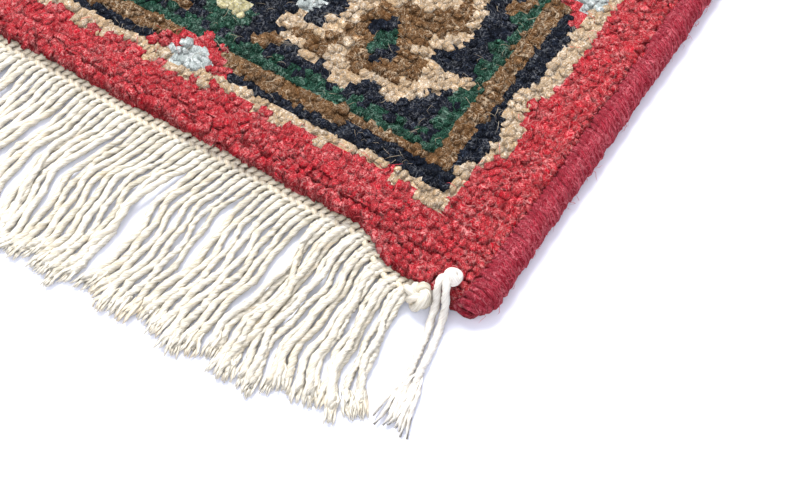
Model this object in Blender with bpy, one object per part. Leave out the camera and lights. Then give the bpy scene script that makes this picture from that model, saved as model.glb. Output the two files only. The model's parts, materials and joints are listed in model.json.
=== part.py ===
"""A small hand-knotted oriental rug that lies flat on a floor.

Units are metres and +Z is up. The origin is on the floor under the middle of the rug. The warp runs
along Y, so the plaited bands with their fringe are at -Y and +Y, and the overcast selvedges are at -X
and +X. The rug is the same when it is turned by half a turn about Z.
"""

import math

import bmesh
import bpy
import numpy as np
from mathutils import Matrix, Vector

# Driving sizes of the knotted body.
PILE_WIDTH = 0.381
PILE_LENGTH = 0.603
PILE_HEIGHT = 0.010
PILE_SWELL = 0.0003
# The swell's phases, in radians a metre across and along.
SWELL_ACROSS = 6.0 / 0.170
SWELL_ALONG = 5.0 / 0.170
GAP = 0.0003

# Towards its corners each end of the pile flares outwards and gets thinner.
FLARE_REACH = 0.008
FLARE_START = 0.038
FLARE_FULL = 0.020
CORNER_DROP = 0.0018
CORNER_PULL = 0.0025
END_WAVE = 0.0005
END_WAVE_LENGTH = 0.062

# The overcast roll along each long side.
SELVEDGE_WIDTH = 0.0088
SELVEDGE_HEIGHT = 0.0086
SELVEDGE_OVERHANG = 0.0088
SELVEDGE_BEND = 0.0024
SELVEDGE_BEND_REACH = 0.007
SELVEDGE_SIDES = 12
SELVEDGE_SPANS = 26
SELVEDGE_LUMP = 0.025
SELVEDGE_LUMP_LENGTH = 0.047

# The plaited cotton band, and the warp ends that hang from it as fringe.
BAND_WIDTH = 0.0042
BAND_HEIGHT = 0.0042
STITCH_DIP = 0.0008
STRAND_COUNT = 148
STRAND_WIDTH = 0.0017
FIRST_STRAND = -0.187
LAST_STRAND = 0.1745
FRINGE_LENGTH = 0.0505
FRINGE_UNEVEN = 0.0035
CORNER_LEAN = 0.0085
CORNER_LEAN_REACH = 0.030
CORNER_LEAN_CURVE = 1.5
STRAND_WAVE = 0.0011
STRAND_WAVE_LENGTH = 0.041
# Waves that the strands' phase runs through from one corner to the other.
PHASE_WAVES = 3.0
# A strand reaches its full sway at this share of its length.
SWAY_FROM = 1.0 / 3.0

# The strands' uneven lengths: two waves, each with its share, its step a strand and its start.
UNEVEN_WAVES = (
    {"share": 0.6, "step": 0.83, "start": 0.0},
    {"share": 0.4, "step": 2.17, "start": 1.0},
)

# The knot that ends the plait, and the thread tied over the corner, with its two tails.
KNOT_CENTRE = (0.1801, -0.3142)
KNOT_SIZE = (0.0088, 0.0078, 0.0072)
KNOT_LUMP = 0.06
KNOT_RISE = 0.6
TIE_CENTRE = (0.1864, -0.3070, 0.0109)
TIE_RADIUS = 0.0022
TAIL_WIDTH = 0.0016

# Rounding of the pile's rim: how far in from the edge, and the share of the height there.
RIM_PROFILE = (
    {"inset": 0.0012, "share": 0.0},
    {"inset": 0.0002, "share": 0.14},
    {"inset": 0.0000, "share": 0.46},
    {"inset": 0.0007, "share": 0.80},
    {"inset": 0.0024, "share": 0.96},
)
RIM_INSET = 0.0055

# Distances in from the edge at which the pile's top has points; the flare needs them close together.
TOP_STATIONS_ACROSS = (0.0055, 0.014, 0.020, 0.026, 0.032, 0.038, 0.070, 0.110, 0.150)
TOP_STATIONS_ALONG = (0.0055, 0.018, 0.040, 0.080, 0.130, 0.180, 0.230, 0.275)

# Rounding of the selvedge's tips: the distance from the tip, and the share of the section there.
TIP_PROFILE = (
    {"from_tip": 0.0, "share": 0.58},
    {"from_tip": 0.0010, "share": 0.82},
    {"from_tip": 0.0030, "share": 0.96},
    {"from_tip": 0.0060, "share": 1.0},
)

# A fringe strand: the share of its length, its width and height shares, and its lift off the floor.
STRAND_RINGS = (
    {"along": 0.055, "wide": 1.0, "tall": 1.45, "lift": 0.0006},
    {"along": 0.30, "wide": 1.0, "tall": 1.0, "lift": 0.0},
    {"along": 0.65, "wide": 1.0, "tall": 1.0, "lift": 0.0},
    {"along": 1.0, "wide": 0.75, "tall": 0.8, "lift": 0.0},
)

# The tie's tails: they fall over the pile's edge, then lie on the floor. Places are from the tie.
TAIL_ROUTES = {
    "left": (
        (-0.0017, -0.0028, -0.0003),
        (-0.0012, -0.0047, -0.0022),
        (-0.0007, -0.0062, -0.0057),
        (-0.0003, -0.0088, -0.0085),
        (0.0008, -0.0130, -0.0101),
        (0.0018, -0.0185, -0.0101),
        (0.0026, -0.0255, -0.0101),
        (0.0027, -0.0335, -0.0101),
        (0.0036, -0.0405, -0.0101),
        (0.0037, -0.0470, -0.0101),
    ),
    "right": (
        (0.0009, -0.0030, -0.0003),
        (0.0014, -0.0050, -0.0024),
        (0.0018, -0.0066, -0.0060),
        (0.0023, -0.0092, -0.0087),
        (0.0033, -0.0135, -0.0101),
        (0.0046, -0.0190, -0.0101),
        (0.0055, -0.0260, -0.0101),
        (0.0060, -0.0340, -0.0101),
        (0.0073, -0.0410, -0.0101),
        (0.0083, -0.0462, -0.0101),
    ),
}


def plain_fibre(name, colour, roughness):
    """A plain fibre finish: colour is linear red, green and blue."""
    material = bpy.data.materials.new(name)
    material.use_nodes = True
    shader = material.node_tree.nodes["Principled BSDF"]
    shader.inputs["Base Color"].default_value = (*colour, 1.0)
    shader.inputs["Roughness"].default_value = roughness
    shader.inputs["Metallic"].default_value = 0.0
    return material


def add_object(name, bm, material):
    """Turns a finished bmesh into a named, smooth shaded object."""
    bm.normal_update()
    mesh = bpy.data.meshes.new(name)
    bm.to_mesh(mesh)
    bm.free()
    mesh.materials.append(material)
    mesh.shade_smooth()
    mesh.set_sharp_from_angle(angle=math.radians(50))
    part = bpy.data.objects.new(name, mesh)
    bpy.context.scene.collection.objects.link(part)
    return part


def smooth_step(value, low, high):
    """0 below low, 1 above high and an even curve between."""
    share = min(1.0, max(0.0, (value - low) / (high - low)))
    return share * share * (3.0 - 2.0 * share)


def flare(across):
    """How much of the corner's flare there is at this place across an end, from 0 to 1."""
    return 1.0 - smooth_step(PILE_WIDTH / 2 - abs(across), FLARE_FULL, FLARE_START)


def both_ways(stations, half):
    """Shares from -1 to 1 of the half size, from distances in from the edge, with 0 between."""
    shares = [(half - inset) / (half - stations[0]) for inset in stations]
    return [-share for share in shares] + [0.0] + shares[::-1]


def end_corners():
    """The pile's front end as an outline: places across, and distances from the rug's middle."""
    places = [column * PILE_WIDTH / 2 for column in both_ways(TOP_STATIONS_ACROSS, PILE_WIDTH / 2)]
    reaches = []
    for across in places:
        wave = END_WAVE * math.sin(2.0 * math.pi * across / END_WAVE_LENGTH)
        reaches.append(PILE_LENGTH / 2 + FLARE_REACH * flare(across) + wave * (1.0 - flare(across)))
    return places, reaches


def end_line(across):
    """Distance from the rug's middle to the pile's front end, at this place across the rug."""
    return float(np.interp(across, *end_corners()))


def pile_point(column, row, inset, share):
    """A point of the pile: column and row run from -1 to 1, and share is of the height there."""
    if abs(column) == 1.0 and abs(row) == 1.0:
        inset = inset + CORNER_PULL
    across = column * (PILE_WIDTH / 2 - inset)
    along = row * (end_line(-across if row > 0.0 else across) - inset)
    at_end = smooth_step(abs(along), PILE_LENGTH / 2 - FLARE_START, PILE_LENGTH / 2)
    swell = PILE_SWELL * math.sin(across * SWELL_ACROSS) * math.cos(along * SWELL_ALONG)
    height = PILE_HEIGHT - CORNER_DROP * flare(across) * at_end - PILE_SWELL + swell
    return Vector((across, along, share * height))


def knotted_pile(material):
    """The knotted body: a flat slab with a rounded rim, thinner and wider at its corners."""
    columns = both_ways(TOP_STATIONS_ACROSS, PILE_WIDTH / 2)
    rows = both_ways(TOP_STATIONS_ALONG, PILE_LENGTH / 2)
    bm = bmesh.new()
    top = [[bm.verts.new(pile_point(c, r, RIM_INSET, 1.0)) for c in columns] for r in rows]
    for lower, upper in zip(top, top[1:]):
        for place in range(len(columns) - 1):
            bm.faces.new((lower[place], lower[place + 1], upper[place + 1], upper[place]))
    last_row, last_column = len(rows) - 1, len(columns) - 1
    border = [(0, place) for place in range(last_column)]
    border += [(place, last_column) for place in range(last_row)]
    border += [(last_row, place) for place in range(last_column, 0, -1)]
    border += [(place, 0) for place in range(last_row, 0, -1)]
    upper = [top[row][column] for row, column in border]
    for step in reversed(RIM_PROFILE):
        lower = [
            bm.verts.new(pile_point(columns[column], rows[row], step["inset"], step["share"]))
            for row, column in border
        ]
        join_rings(bm, lower, upper)
        upper = lower
    bm.faces.new(tuple(reversed(upper)))
    return add_object("knotted_pile", bm, material)


def join_rings(bm, lower, upper):
    """Quads between two closed rings with the same number of points."""
    for place in range(len(lower)):
        following = (place + 1) % len(lower)
        bm.faces.new((lower[place], lower[following], upper[following], upper[place]))


def selvedge(name, side, material):
    """The roll of overcast warps along one long side, flat where it lies on the floor."""
    reach = PILE_LENGTH / 2 + SELVEDGE_OVERHANG
    tips = [(-reach + step["from_tip"], step["share"]) for step in TIP_PROFILE]
    straight = 2.0 * (reach - TIP_PROFILE[-1]["from_tip"])
    spans = [(tips[-1][0] + straight * k / SELVEDGE_SPANS, 1.0) for k in range(1, SELVEDGE_SPANS)]
    stations = tips + spans + [(-along, share) for along, share in reversed(tips)]
    first_angle = math.pi / SELVEDGE_SIDES
    low_point = math.cos(first_angle)
    bm = bmesh.new()
    rings = []
    for along, share in stations:
        bend = SELVEDGE_BEND * smooth_step(abs(along), reach - SELVEDGE_BEND_REACH, reach)
        lump = 1.0 - SELVEDGE_LUMP * (1.0 + math.sin(2.0 * math.pi * along / SELVEDGE_LUMP_LENGTH))
        ring = []
        for k in range(SELVEDGE_SIDES):
            angle = first_angle + 2.0 * math.pi * k / SELVEDGE_SIDES
            out = SELVEDGE_WIDTH / 2 * lump * share * math.sin(angle)
            rise = SELVEDGE_HEIGHT / 2 * lump * share * (low_point - math.cos(angle))
            across = PILE_WIDTH / 2 + GAP + SELVEDGE_WIDTH / 2 - bend + out
            ring.append(bm.verts.new((side * across, along, rise)))
        rings.append(ring)
    for lower, upper in zip(rings, rings[1:]):
        join_rings(bm, lower, upper)
    bm.faces.new(rings[0])
    bm.faces.new(rings[-1])
    bmesh.ops.recalc_face_normals(bm, faces=bm.faces)
    return add_object(name, bm, material)


def section(centre, direction, width, height):
    """Four corners across a strand, in the order of a face that looks along direction."""
    side = direction.cross(Vector((0.0, 0.0, 1.0))).normalized()
    rise = side.cross(direction).normalized()
    half_side, half_rise = side * width / 2, rise * height / 2
    return (
        centre + half_side - half_rise,
        centre - half_side - half_rise,
        centre - half_side + half_rise,
        centre + half_side + half_rise,
    )


def grow_strand(bm, face, sections):
    """Grows a four-sided strand out of a face, through each section in turn, and closes its tip."""
    ring = list(face.verts)
    first = sections[0]
    shift = min(range(4), key=lambda k: sum((ring[(i + k) % 4].co - first[i]).length for i in range(4)))
    ring = ring[shift:] + ring[:shift]
    bm.faces.remove(face)
    for corners in sections:
        following = [bm.verts.new(corner) for corner in corners]
        join_rings(bm, ring, following)
        ring = following
    bm.faces.new(ring)


def band_front(across):
    """The band's outer edge, which follows the pile's end at the width of the band."""
    return -(end_line(across) + GAP + BAND_WIDTH)


def strand_sections(number, root):
    """Sections of one fringe strand, from the band to its tip; the last ones lean to the corner."""
    share = number / (STRAND_COUNT - 1)
    uneven = sum(
        wave["share"] * math.sin(number * wave["step"] + wave["start"]) for wave in UNEVEN_WAVES
    )
    length = FRINGE_LENGTH + FRINGE_UNEVEN * uneven
    near_knot = smooth_step(root, LAST_STRAND - CORNER_LEAN_REACH, LAST_STRAND)
    length -= FLARE_REACH * flare(root)
    sections = []
    start = Vector((root, band_front(root), 0.0))
    before = start
    at_root = 2.0 * math.pi * PHASE_WAVES * share
    for ring in STRAND_RINGS:
        reach = length * ring["along"]
        phase = 2.0 * math.pi * reach / STRAND_WAVE_LENGTH + at_root
        swung = min(1.0, ring["along"] / SWAY_FROM)
        sway = STRAND_WAVE * (math.sin(phase) - math.sin(at_root)) * swung
        lean = CORNER_LEAN * near_knot * ring["along"] ** CORNER_LEAN_CURVE
        tall = STRAND_WIDTH * ring["tall"]
        centre = start + Vector((sway + lean, -reach, ring["lift"] + tall / 2))
        level = Vector((centre.x - before.x, centre.y - before.y, 0.0)).normalized()
        sections.append(section(centre, level, STRAND_WIDTH * ring["wide"], tall))
        before = centre
    return sections


def nearest(rail, across):
    """The number of the point along a rail that lies nearest to this place across the rug."""
    return min(range(len(rail)), key=lambda number: abs(rail[number].co.x - across))


def fringed_band(name, turn, material):
    """One plaited band with its fringe: strands grow from cells of its outer face."""
    pitch = (LAST_STRAND - FIRST_STRAND) / (STRAND_COUNT - 1)
    roots = [FIRST_STRAND + pitch * k for k in range(STRAND_COUNT)]
    bm = bmesh.new()
    floor_rail, top_rail, cells = [], [], []
    for number, root in enumerate(roots):
        left, right = root - STRAND_WIDTH / 2, root + STRAND_WIDTH / 2
        corners = []
        for across, height in ((left, 0.0), (right, 0.0), (right, BAND_HEIGHT), (left, BAND_HEIGHT)):
            corners.append(bm.verts.new((across, band_front(across), height)))
        floor_rail += corners[:2]
        top_rail += [corners[3], corners[2]]
        cells.append(bm.faces.new(corners))
        if number < STRAND_COUNT - 1:
            middle = root + pitch / 2
            top_rail.append(bm.verts.new((middle, band_front(middle), BAND_HEIGHT - STITCH_DIP)))
    for number in range(STRAND_COUNT - 1):
        low, high = 2 * number + 1, 3 * number + 1
        dipped = (top_rail[high + 2], top_rail[high + 1], top_rail[high])
        bm.faces.new((floor_rail[low], floor_rail[low + 1], *dipped))
    first, last = top_rail[0].co.x, top_rail[-1].co.x
    stations = [first] + [place for place in end_corners()[0] if first < place < last] + [last]
    back_low, back_high, top_marks, low_marks = [], [], [], []
    for across in stations:
        place = (across, -(end_line(across) + GAP))
        back_low.append(bm.verts.new((*place, 0.0)))
        back_high.append(bm.verts.new((*place, BAND_HEIGHT)))
        top_marks.append(nearest(top_rail, across))
        low_marks.append(nearest(floor_rail, across))
    for block in range(len(stations) - 1):
        top_run = top_rail[top_marks[block]:top_marks[block + 1] + 1]
        low_run = floor_rail[low_marks[block]:low_marks[block + 1] + 1]
        bm.faces.new(top_run + [back_high[block + 1], back_high[block]])
        bm.faces.new(low_run[::-1] + [back_low[block], back_low[block + 1]])
        bm.faces.new((back_low[block + 1], back_low[block], back_high[block], back_high[block + 1]))
    bm.faces.new((floor_rail[0], top_rail[0], back_high[0], back_low[0]))
    bm.faces.new((floor_rail[-1], back_low[-1], back_high[-1], top_rail[-1]))
    for number, cell in enumerate(cells):
        grow_strand(bm, cell, strand_sections(number, roots[number]))
    bmesh.ops.transform(bm, matrix=turn, verts=bm.verts)
    return add_object(name, bm, material)


def plait_knot(name, turn, material):
    """The lumpy knot that ends the plait, flat where it lies on the floor."""
    bm = bmesh.new()
    bmesh.ops.create_uvsphere(bm, u_segments=12, v_segments=8, radius=1.0)
    for vertex in bm.verts:
        angle = math.atan2(vertex.co.y, vertex.co.x)
        lump = 1.0 - KNOT_LUMP * (1.0 + math.sin(3.0 * angle + 2.0 * vertex.co.z))
        rise = max(0.0, vertex.co.z * lump * KNOT_RISE + 1.0 - KNOT_RISE)
        place = (vertex.co.x * lump * KNOT_SIZE[0] / 2, vertex.co.y * lump * KNOT_SIZE[1] / 2)
        vertex.co = Vector((KNOT_CENTRE[0] + place[0], KNOT_CENTRE[1] + place[1], rise * KNOT_SIZE[2]))
    bmesh.ops.transform(bm, matrix=turn, verts=bm.verts)
    return add_object(name, bm, material)


def corner_tie(name, turn, material):
    """The thread tied over the corner: a round knot, and two tails that fall to the floor."""
    bm = bmesh.new()
    bmesh.ops.create_uvsphere(bm, u_segments=10, v_segments=7, radius=TIE_RADIUS)
    tie = Vector(TIE_CENTRE)
    bmesh.ops.translate(bm, vec=tie, verts=bm.verts)
    for route in TAIL_ROUTES.values():
        places = [tie + Vector(step) for step in route]
        outwards = (places[0] - tie).normalized()
        squares = [face for face in bm.faces if len(face.verts) == 4]
        facing = [(face.calc_center_median() - tie).normalized().dot(outwards) for face in squares]
        root = squares[facing.index(max(facing))]
        sections = []
        for before, place, after in zip([tie] + places, places, places[1:] + places[-1:]):
            direction = (after - before).normalized()
            if place.z < TAIL_WIDTH:
                direction = Vector((direction.x, direction.y, 0.0)).normalized()
                place = Vector((place.x, place.y, TAIL_WIDTH / 2))
            sections.append(section(place, direction, TAIL_WIDTH, TAIL_WIDTH))
        grow_strand(bm, root, sections)
    bmesh.ops.transform(bm, matrix=turn, verts=bm.verts)
    return add_object(name, bm, material)


def main():
    """Clears the scene and makes the rug."""
    for existing in list(bpy.data.objects):
        bpy.data.objects.remove(existing, do_unlink=True)
    red_wool = plain_fibre("red pile wool", (0.50, 0.045, 0.055), 0.95)
    wine_wool = plain_fibre("wine red overcast wool", (0.27, 0.020, 0.045), 0.95)
    cotton = plain_fibre("unbleached cotton warp", (0.78, 0.74, 0.62), 0.9)
    white_cotton = plain_fibre("white tie thread", (0.85, 0.83, 0.76), 0.9)
    knotted_pile(red_wool)
    selvedge("selvedge_right", 1.0, wine_wool)
    selvedge("selvedge_left", -1.0, wine_wool)
    ends = {"front": Matrix.Identity(4), "back": Matrix.Rotation(math.pi, 4, "Z")}
    for end, turn in ends.items():
        fringed_band("fringe_" + end, turn, cotton)
        plait_knot("plait_knot_" + end, turn, cotton)
        corner_tie("corner_tie_" + end, turn, white_cotton)


main()
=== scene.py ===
"""A small hand-knotted oriental rug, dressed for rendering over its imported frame.

Each class is one sub-assembly of the rug: the chart of its pattern, the knotted cloth with its pile,
the overcast selvedges, the plaited bands with their fringe, the knots and ties at the corners, and
the loose fibres. Sizes are in metres in the frame of the solids: +Z is up from the floor, and the
warp runs along Y.
"""

import json
import logging
import math
from dataclasses import dataclass, field, replace
from enum import Enum
from typing import Iterable, Optional, Sequence

import bpy
import numpy as np
from bpy.types import Collection, ID, Material, Mesh, Node, NodeSocket, NodeTree, Object
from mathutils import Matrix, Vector

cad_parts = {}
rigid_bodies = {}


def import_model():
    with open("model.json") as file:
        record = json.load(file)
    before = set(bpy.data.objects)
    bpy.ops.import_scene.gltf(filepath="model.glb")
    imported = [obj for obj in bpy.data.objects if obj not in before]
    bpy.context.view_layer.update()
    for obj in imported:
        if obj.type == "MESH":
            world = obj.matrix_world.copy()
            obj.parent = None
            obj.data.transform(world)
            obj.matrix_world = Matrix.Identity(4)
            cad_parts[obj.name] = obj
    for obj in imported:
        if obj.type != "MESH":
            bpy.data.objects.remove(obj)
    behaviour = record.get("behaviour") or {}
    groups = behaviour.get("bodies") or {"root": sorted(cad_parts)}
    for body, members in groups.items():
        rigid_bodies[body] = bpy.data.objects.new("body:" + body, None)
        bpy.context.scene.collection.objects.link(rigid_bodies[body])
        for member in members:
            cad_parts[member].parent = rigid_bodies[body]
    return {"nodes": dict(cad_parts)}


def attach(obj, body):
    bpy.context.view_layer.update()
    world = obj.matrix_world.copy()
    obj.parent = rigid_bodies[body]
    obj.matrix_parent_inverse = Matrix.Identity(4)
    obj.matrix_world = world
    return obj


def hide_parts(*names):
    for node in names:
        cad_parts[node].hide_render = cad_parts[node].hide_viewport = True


LOG = logging.getLogger("rug")
MM = 0.001
BODY = "root"

# Kinds and settings of the nodes that the materials and the scatter tree use most.
MATH = "ShaderNodeMath"
VECTOR_MATH = "ShaderNodeVectorMath"
NOISE = "ShaderNodeTexNoise"
MAP_RANGE = "ShaderNodeMapRange"
PLUS = {"operation": "ADD"}
LESS = {"operation": "SUBTRACT"}
TIMES = {"operation": "MULTIPLY"}
TIMES_PLUS = {"operation": "MULTIPLY_ADD"}
SCALED = {"operation": "SCALE"}
WITHOUT_SIGN = {"operation": "ABSOLUTE"}


class Slot(Enum):
    """The record's material slots."""

    PILE = "pile_wool"
    SELVEDGE = "selvedge_wool"
    COTTON = "warp_cotton"
    TIE = "tie_thread"


class Wool(Enum):
    """The dyed wools of the pile, by the letter that stands for each on the charts."""

    RED = "R"
    BEIGE = "B"
    NAVY = "."
    BROWN = "O"
    GREEN = "G"
    PALE = "P"
    CREAM = "C"


def smooth_step(value: np.ndarray, low: float, high: float) -> np.ndarray:
    """Eases from 0 below low to 1 above high."""
    share = np.clip((np.asarray(value, float) - low) / (high - low), 0.0, 1.0)
    return share * share * (3.0 - 2.0 * share)


@dataclass(frozen=True)
class RugShape:
    """The knotted body's outline and height, the same as the solid's."""

    width: float = 0.381
    length: float = 0.603
    height: float = 0.010
    swell: float = 0.0003
    swell_length: float = 0.170
    gap: float = 0.0003
    flare_reach: float = 0.008
    flare_start: float = 0.038
    flare_full: float = 0.020
    corner_drop: float = 0.0018
    end_wave: float = 0.0005
    end_wave_length: float = 0.062

    def flare(self, across: np.ndarray) -> np.ndarray:
        """Gives the share of the corner's flare at places across the rug, 1 at the corners."""
        return 1.0 - smooth_step(self.width / 2 - np.abs(across), self.flare_full, self.flare_start)

    def end_line(self, across: np.ndarray) -> np.ndarray:
        """Gives the distance from the rug's middle to the pile's front end.

        Args:
            across: Places across the rug.

        Returns:
            The distances.
        """
        flare = self.flare(across)
        wave = self.end_wave * np.sin(2.0 * math.pi * np.asarray(across) / self.end_wave_length)
        return self.length / 2 + self.flare_reach * flare + wave * (1.0 - flare)

    def top(self, across: np.ndarray, along: np.ndarray) -> np.ndarray:
        """Gives the pile's height.

        Args:
            across: Places across the rug.
            along: Places along it.

        Returns:
            Heights above the floor.
        """
        at_end = smooth_step(np.abs(along), self.length / 2 - self.flare_start, self.length / 2)
        swell = np.sin(across / self.swell_length * 6.0) * np.cos(along / self.swell_length * 5.0)
        drop = self.corner_drop * self.flare(across) * at_end
        return self.height - drop - self.swell * (1.0 - swell)


RUG = RugShape()


def linear(colour: str) -> tuple[float, float, float, float]:
    """Turns an sRGB hex colour into the linear one that shaders take.

    Args:
        colour: Six hex digits after a hash sign.

    Returns:
        Linear red, green, blue and an alpha of 1.
    """
    shares = [int(colour[place : place + 2], 16) / 255.0 for place in (1, 3, 5)]
    values = [s / 12.92 if s <= 0.04045 else ((s + 0.055) / 1.055) ** 2.4 for s in shares]
    return (*values, 1.0)


def add_object(name: str, data: ID) -> Object:
    """Adds an object to the scene.

    Args:
        name: The object's name.
        data: Its mesh, light or camera.

    Returns:
        The object, at the origin.
    """
    made = bpy.data.objects.new(name, data)
    bpy.context.scene.collection.objects.link(made)
    return made


def write_attribute(mesh: Mesh, name: str, values: np.ndarray) -> None:
    """Writes a number or a vector on each point of a mesh.

    Args:
        mesh: The mesh.
        name: The attribute's name.
        values: Whole numbers, numbers, or rows of three numbers.
    """
    whole = values.dtype.kind == "i"
    kind = "FLOAT_VECTOR" if values.ndim == 2 else "INT" if whole else "FLOAT"
    data = mesh.attributes.new(name, kind, "POINT").data
    kept = values.astype(np.int32 if whole else np.float32)
    data.foreach_set("vector" if values.ndim == 2 else "value", kept.ravel())


def add_node(
    tree: NodeTree,
    kind: str,
    settings: Optional[dict] = None,
    inputs: Optional[dict] = None,
) -> Node:
    """Adds one node with its settings, values and links.

    Args:
        tree: The node tree it goes in.
        kind: The node's type.
        settings: Its attributes by name.
        inputs: Values, or sockets to link from, by the input's name or number.

    Returns:
        The new node.
    """
    node = tree.nodes.new(kind)
    for name, value in (settings or {}).items():
        setattr(node, name, value)
    for place, value in (inputs or {}).items():
        if isinstance(value, NodeSocket):
            tree.links.new(value, node.inputs[place])
        else:
            node.inputs[place].default_value = value
    return node


@dataclass(frozen=True)
class FibreFinish:
    """Matt spun fibre: streaks that follow the yarn, curled hairs painted as highlights, stray hairs,
    and painted shade that darkens the roots.

    The finish reads two attributes of the mesh. "grain" is a place in the yarn's own frame in
    millimetres, with z along the yarn, and "tone" is one random number from 0 to 1 for each yarn.
    Widths, lengths and heights are in millimetres, and shares run from 0 to 1.
    """

    name: str
    deep: str
    base: str
    light: str
    width: float = 0.30
    run: float = 1.4
    curl: float = 1.2
    relief: float = 0.16
    tone_share: float = 0.30
    line_share: float = 0.45
    line_reach: float = 0.035
    # Heights in millimetres up the yarn between which painted shade darkens it towards its root.
    root: Optional[tuple[float, float]] = None
    stain: Optional[str] = None
    sheen: float = 0.03
    contrast: float = 0.46
    stray: Optional[str] = None
    stray_share: float = 0.85
    stray_size: float = 2.6
    upright: float = 0.0
    root_share: float = 0.8
    detail: float = 2.0
    roughness: float = 0.62
    matted: bool = False
    swirl_size: float = 3.6
    swirl_push: float = 7.5
    tone_spread: float = 173.0
    hair_relief: float = 0.25
    stray_relief: float = 0.5

    def build(self) -> Material:
        """Makes the material.

        Returns:
            The material, whose node tree is all procedural.
        """
        material = bpy.data.materials.new(self.name)
        material.use_nodes = True
        tree = material.node_tree
        grain = add_node(tree, "ShaderNodeAttribute", {"attribute_name": "grain"}).outputs["Vector"]
        tone = add_node(tree, "ShaderNodeAttribute", {"attribute_name": "tone"}).outputs["Fac"]
        place = self.place(tree, grain, tone)
        noise = {
            "Vector": place,
            "Scale": 1.0,
            "Detail": self.detail,
            "Roughness": self.roughness,
            "Distortion": self.curl,
        }
        fibres = add_node(tree, NOISE, None, noise).outputs["Fac"]
        # Thin curled lines, as single hairs that catch the light on the yarn's surface.
        noise |= {"Scale": 0.8, "Detail": 1.0, "Roughness": 0.5, "Distortion": 1.6 * self.curl}
        curls = add_node(tree, NOISE, None, noise).outputs["Fac"]
        hairs = self.line(tree, curls, 0.0, self.line_reach)
        colour = self.dyed(tree, fibres, hairs, tone)
        if self.stain:
            colour = self.stained(tree, place, colour)
        # Painted shade, darker towards the roots of the tufts.
        if self.root:
            colour = self.rooted(tree, grain, colour)
        height = {0: hairs, 1: self.hair_relief, 2: fibres}
        relief = add_node(tree, MATH, TIMES_PLUS, height).outputs[0]
        if self.stray:
            stray = self.stray_lines(tree)
            colour = self.mixed(tree, stray, colour, linear(self.stray))
            height = {0: stray, 1: self.stray_relief, 2: relief}
            relief = add_node(tree, MATH, TIMES_PLUS, height).outputs[0]
        shader = tree.nodes["Principled BSDF"]
        tree.links.new(colour, shader.inputs["Base Color"])
        tree.links.new(self.normal(tree, relief), shader.inputs["Normal"])
        shader.inputs["Roughness"].default_value = 0.88
        shader.inputs["Specular IOR Level"].default_value = 0.06
        shader.inputs["Sheen Weight"].default_value = self.sheen
        shader.inputs["Sheen Roughness"].default_value = 0.45
        shader.inputs["Sheen Tint"].default_value = linear(self.light)
        return material

    def place(self, tree: NodeTree, grain: NodeSocket, tone: NodeSocket) -> NodeSocket:
        """Stretches places in the yarn, so that the noise on them gives long thin fibres.

        Args:
            tree: The node tree.
            grain: Socket with places in the yarn's own frame.
            tone: Socket with the yarn's random number.

        Returns:
            The socket with the stretched places.
        """
        if self.matted:
            # Fibres of matted wool run on from one tuft to the next, lying level in swirls.
            scales = (1.0 / self.width, 1.0 / self.run, 1.0 / self.width)
            return add_node(tree, VECTOR_MATH, TIMES, {0: self.swirled(tree), 1: scales}).outputs[0]
        scales = (1.0 / self.width, 1.0 / self.width, 1.0 / self.run)
        stretched = add_node(tree, VECTOR_MATH, TIMES, {0: grain, 1: scales}).outputs[0]
        apart = add_node(tree, MATH, TIMES, {0: tone, 1: self.tone_spread}).outputs[0]
        return add_node(tree, VECTOR_MATH, PLUS, {0: stretched, 1: apart}).outputs[0]

    def dyed(
        self,
        tree: NodeTree,
        fibres: NodeSocket,
        hairs: NodeSocket,
        tone: NodeSocket,
    ) -> NodeSocket:
        """Gives the dye's colour, streaked by the fibres, a little different on each yarn, with painted
        highlights.

        Args:
            tree: The node tree.
            fibres: Socket with the noise that stands for the fibres.
            hairs: Socket with the share of hair, which gets a painted highlight in the light colour.
            tone: Socket with the yarn's random number.

        Returns:
            The socket with the colour.
        """
        shift = {0: tone, 1: self.tone_share, 2: -0.5 * self.tone_share}
        level = add_node(tree, MATH, TIMES_PLUS, shift).outputs[0]
        shade = add_node(tree, MATH, PLUS, {0: fibres, 1: level}).outputs[0]
        ramp = add_node(tree, "ShaderNodeValToRGB", None, {"Fac": shade})
        stops = ramp.color_ramp.elements
        stops[0].position = 0.51 - self.contrast / 2
        stops[0].color = linear(self.deep)
        stops[1].position = 0.51 + self.contrast / 2
        stops[1].color = linear(self.light)
        stops.new(0.50).color = linear(self.base)
        # Hairs that catch the light are painted lighter, as highlights.
        share = add_node(tree, MATH, TIMES, {0: hairs, 1: self.line_share}).outputs[0]
        return self.mixed(tree, share, ramp.outputs["Color"], linear(self.light))

    def stained(self, tree: NodeTree, place: NodeSocket, colour: NodeSocket) -> NodeSocket:
        """Adds patches of the yarn that are less bleached than the rest.

        Args:
            tree: The node tree.
            place: Socket with the stretched places.
            colour: Socket with the colour so far.

        Returns:
            The socket with the new colour.
        """
        noise = {"Vector": place, "Scale": 0.16, "Detail": 1.0}
        patches = add_node(tree, NOISE, None, noise).outputs["Fac"]
        ends = {"Value": patches, "From Min": 0.60, "From Max": 0.76, "To Max": 0.35}
        share = add_node(tree, MAP_RANGE, None, ends).outputs[0]
        return self.mixed(tree, share, colour, linear(self.stain))

    def rooted(self, tree: NodeTree, grain: NodeSocket, colour: NodeSocket) -> NodeSocket:
        """Paints shade on the tufts deep down, darker towards their roots, where little light reaches
        between them.

        Args:
            tree: The node tree.
            grain: Socket with places in the yarn's own frame.
            colour: Socket with the colour so far.

        Returns:
            The socket with the new colour.
        """
        rise = add_node(tree, "ShaderNodeSeparateXYZ", None, {"Vector": grain}).outputs["Z"]
        low, high = self.root
        ends = {"Value": rise, "From Min": low, "From Max": high}
        ends |= {"To Min": self.root_share, "To Max": 0.0}
        share = add_node(tree, MAP_RANGE, None, ends).outputs[0]
        return self.mixed(tree, share, colour, linear(self.deep))

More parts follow.
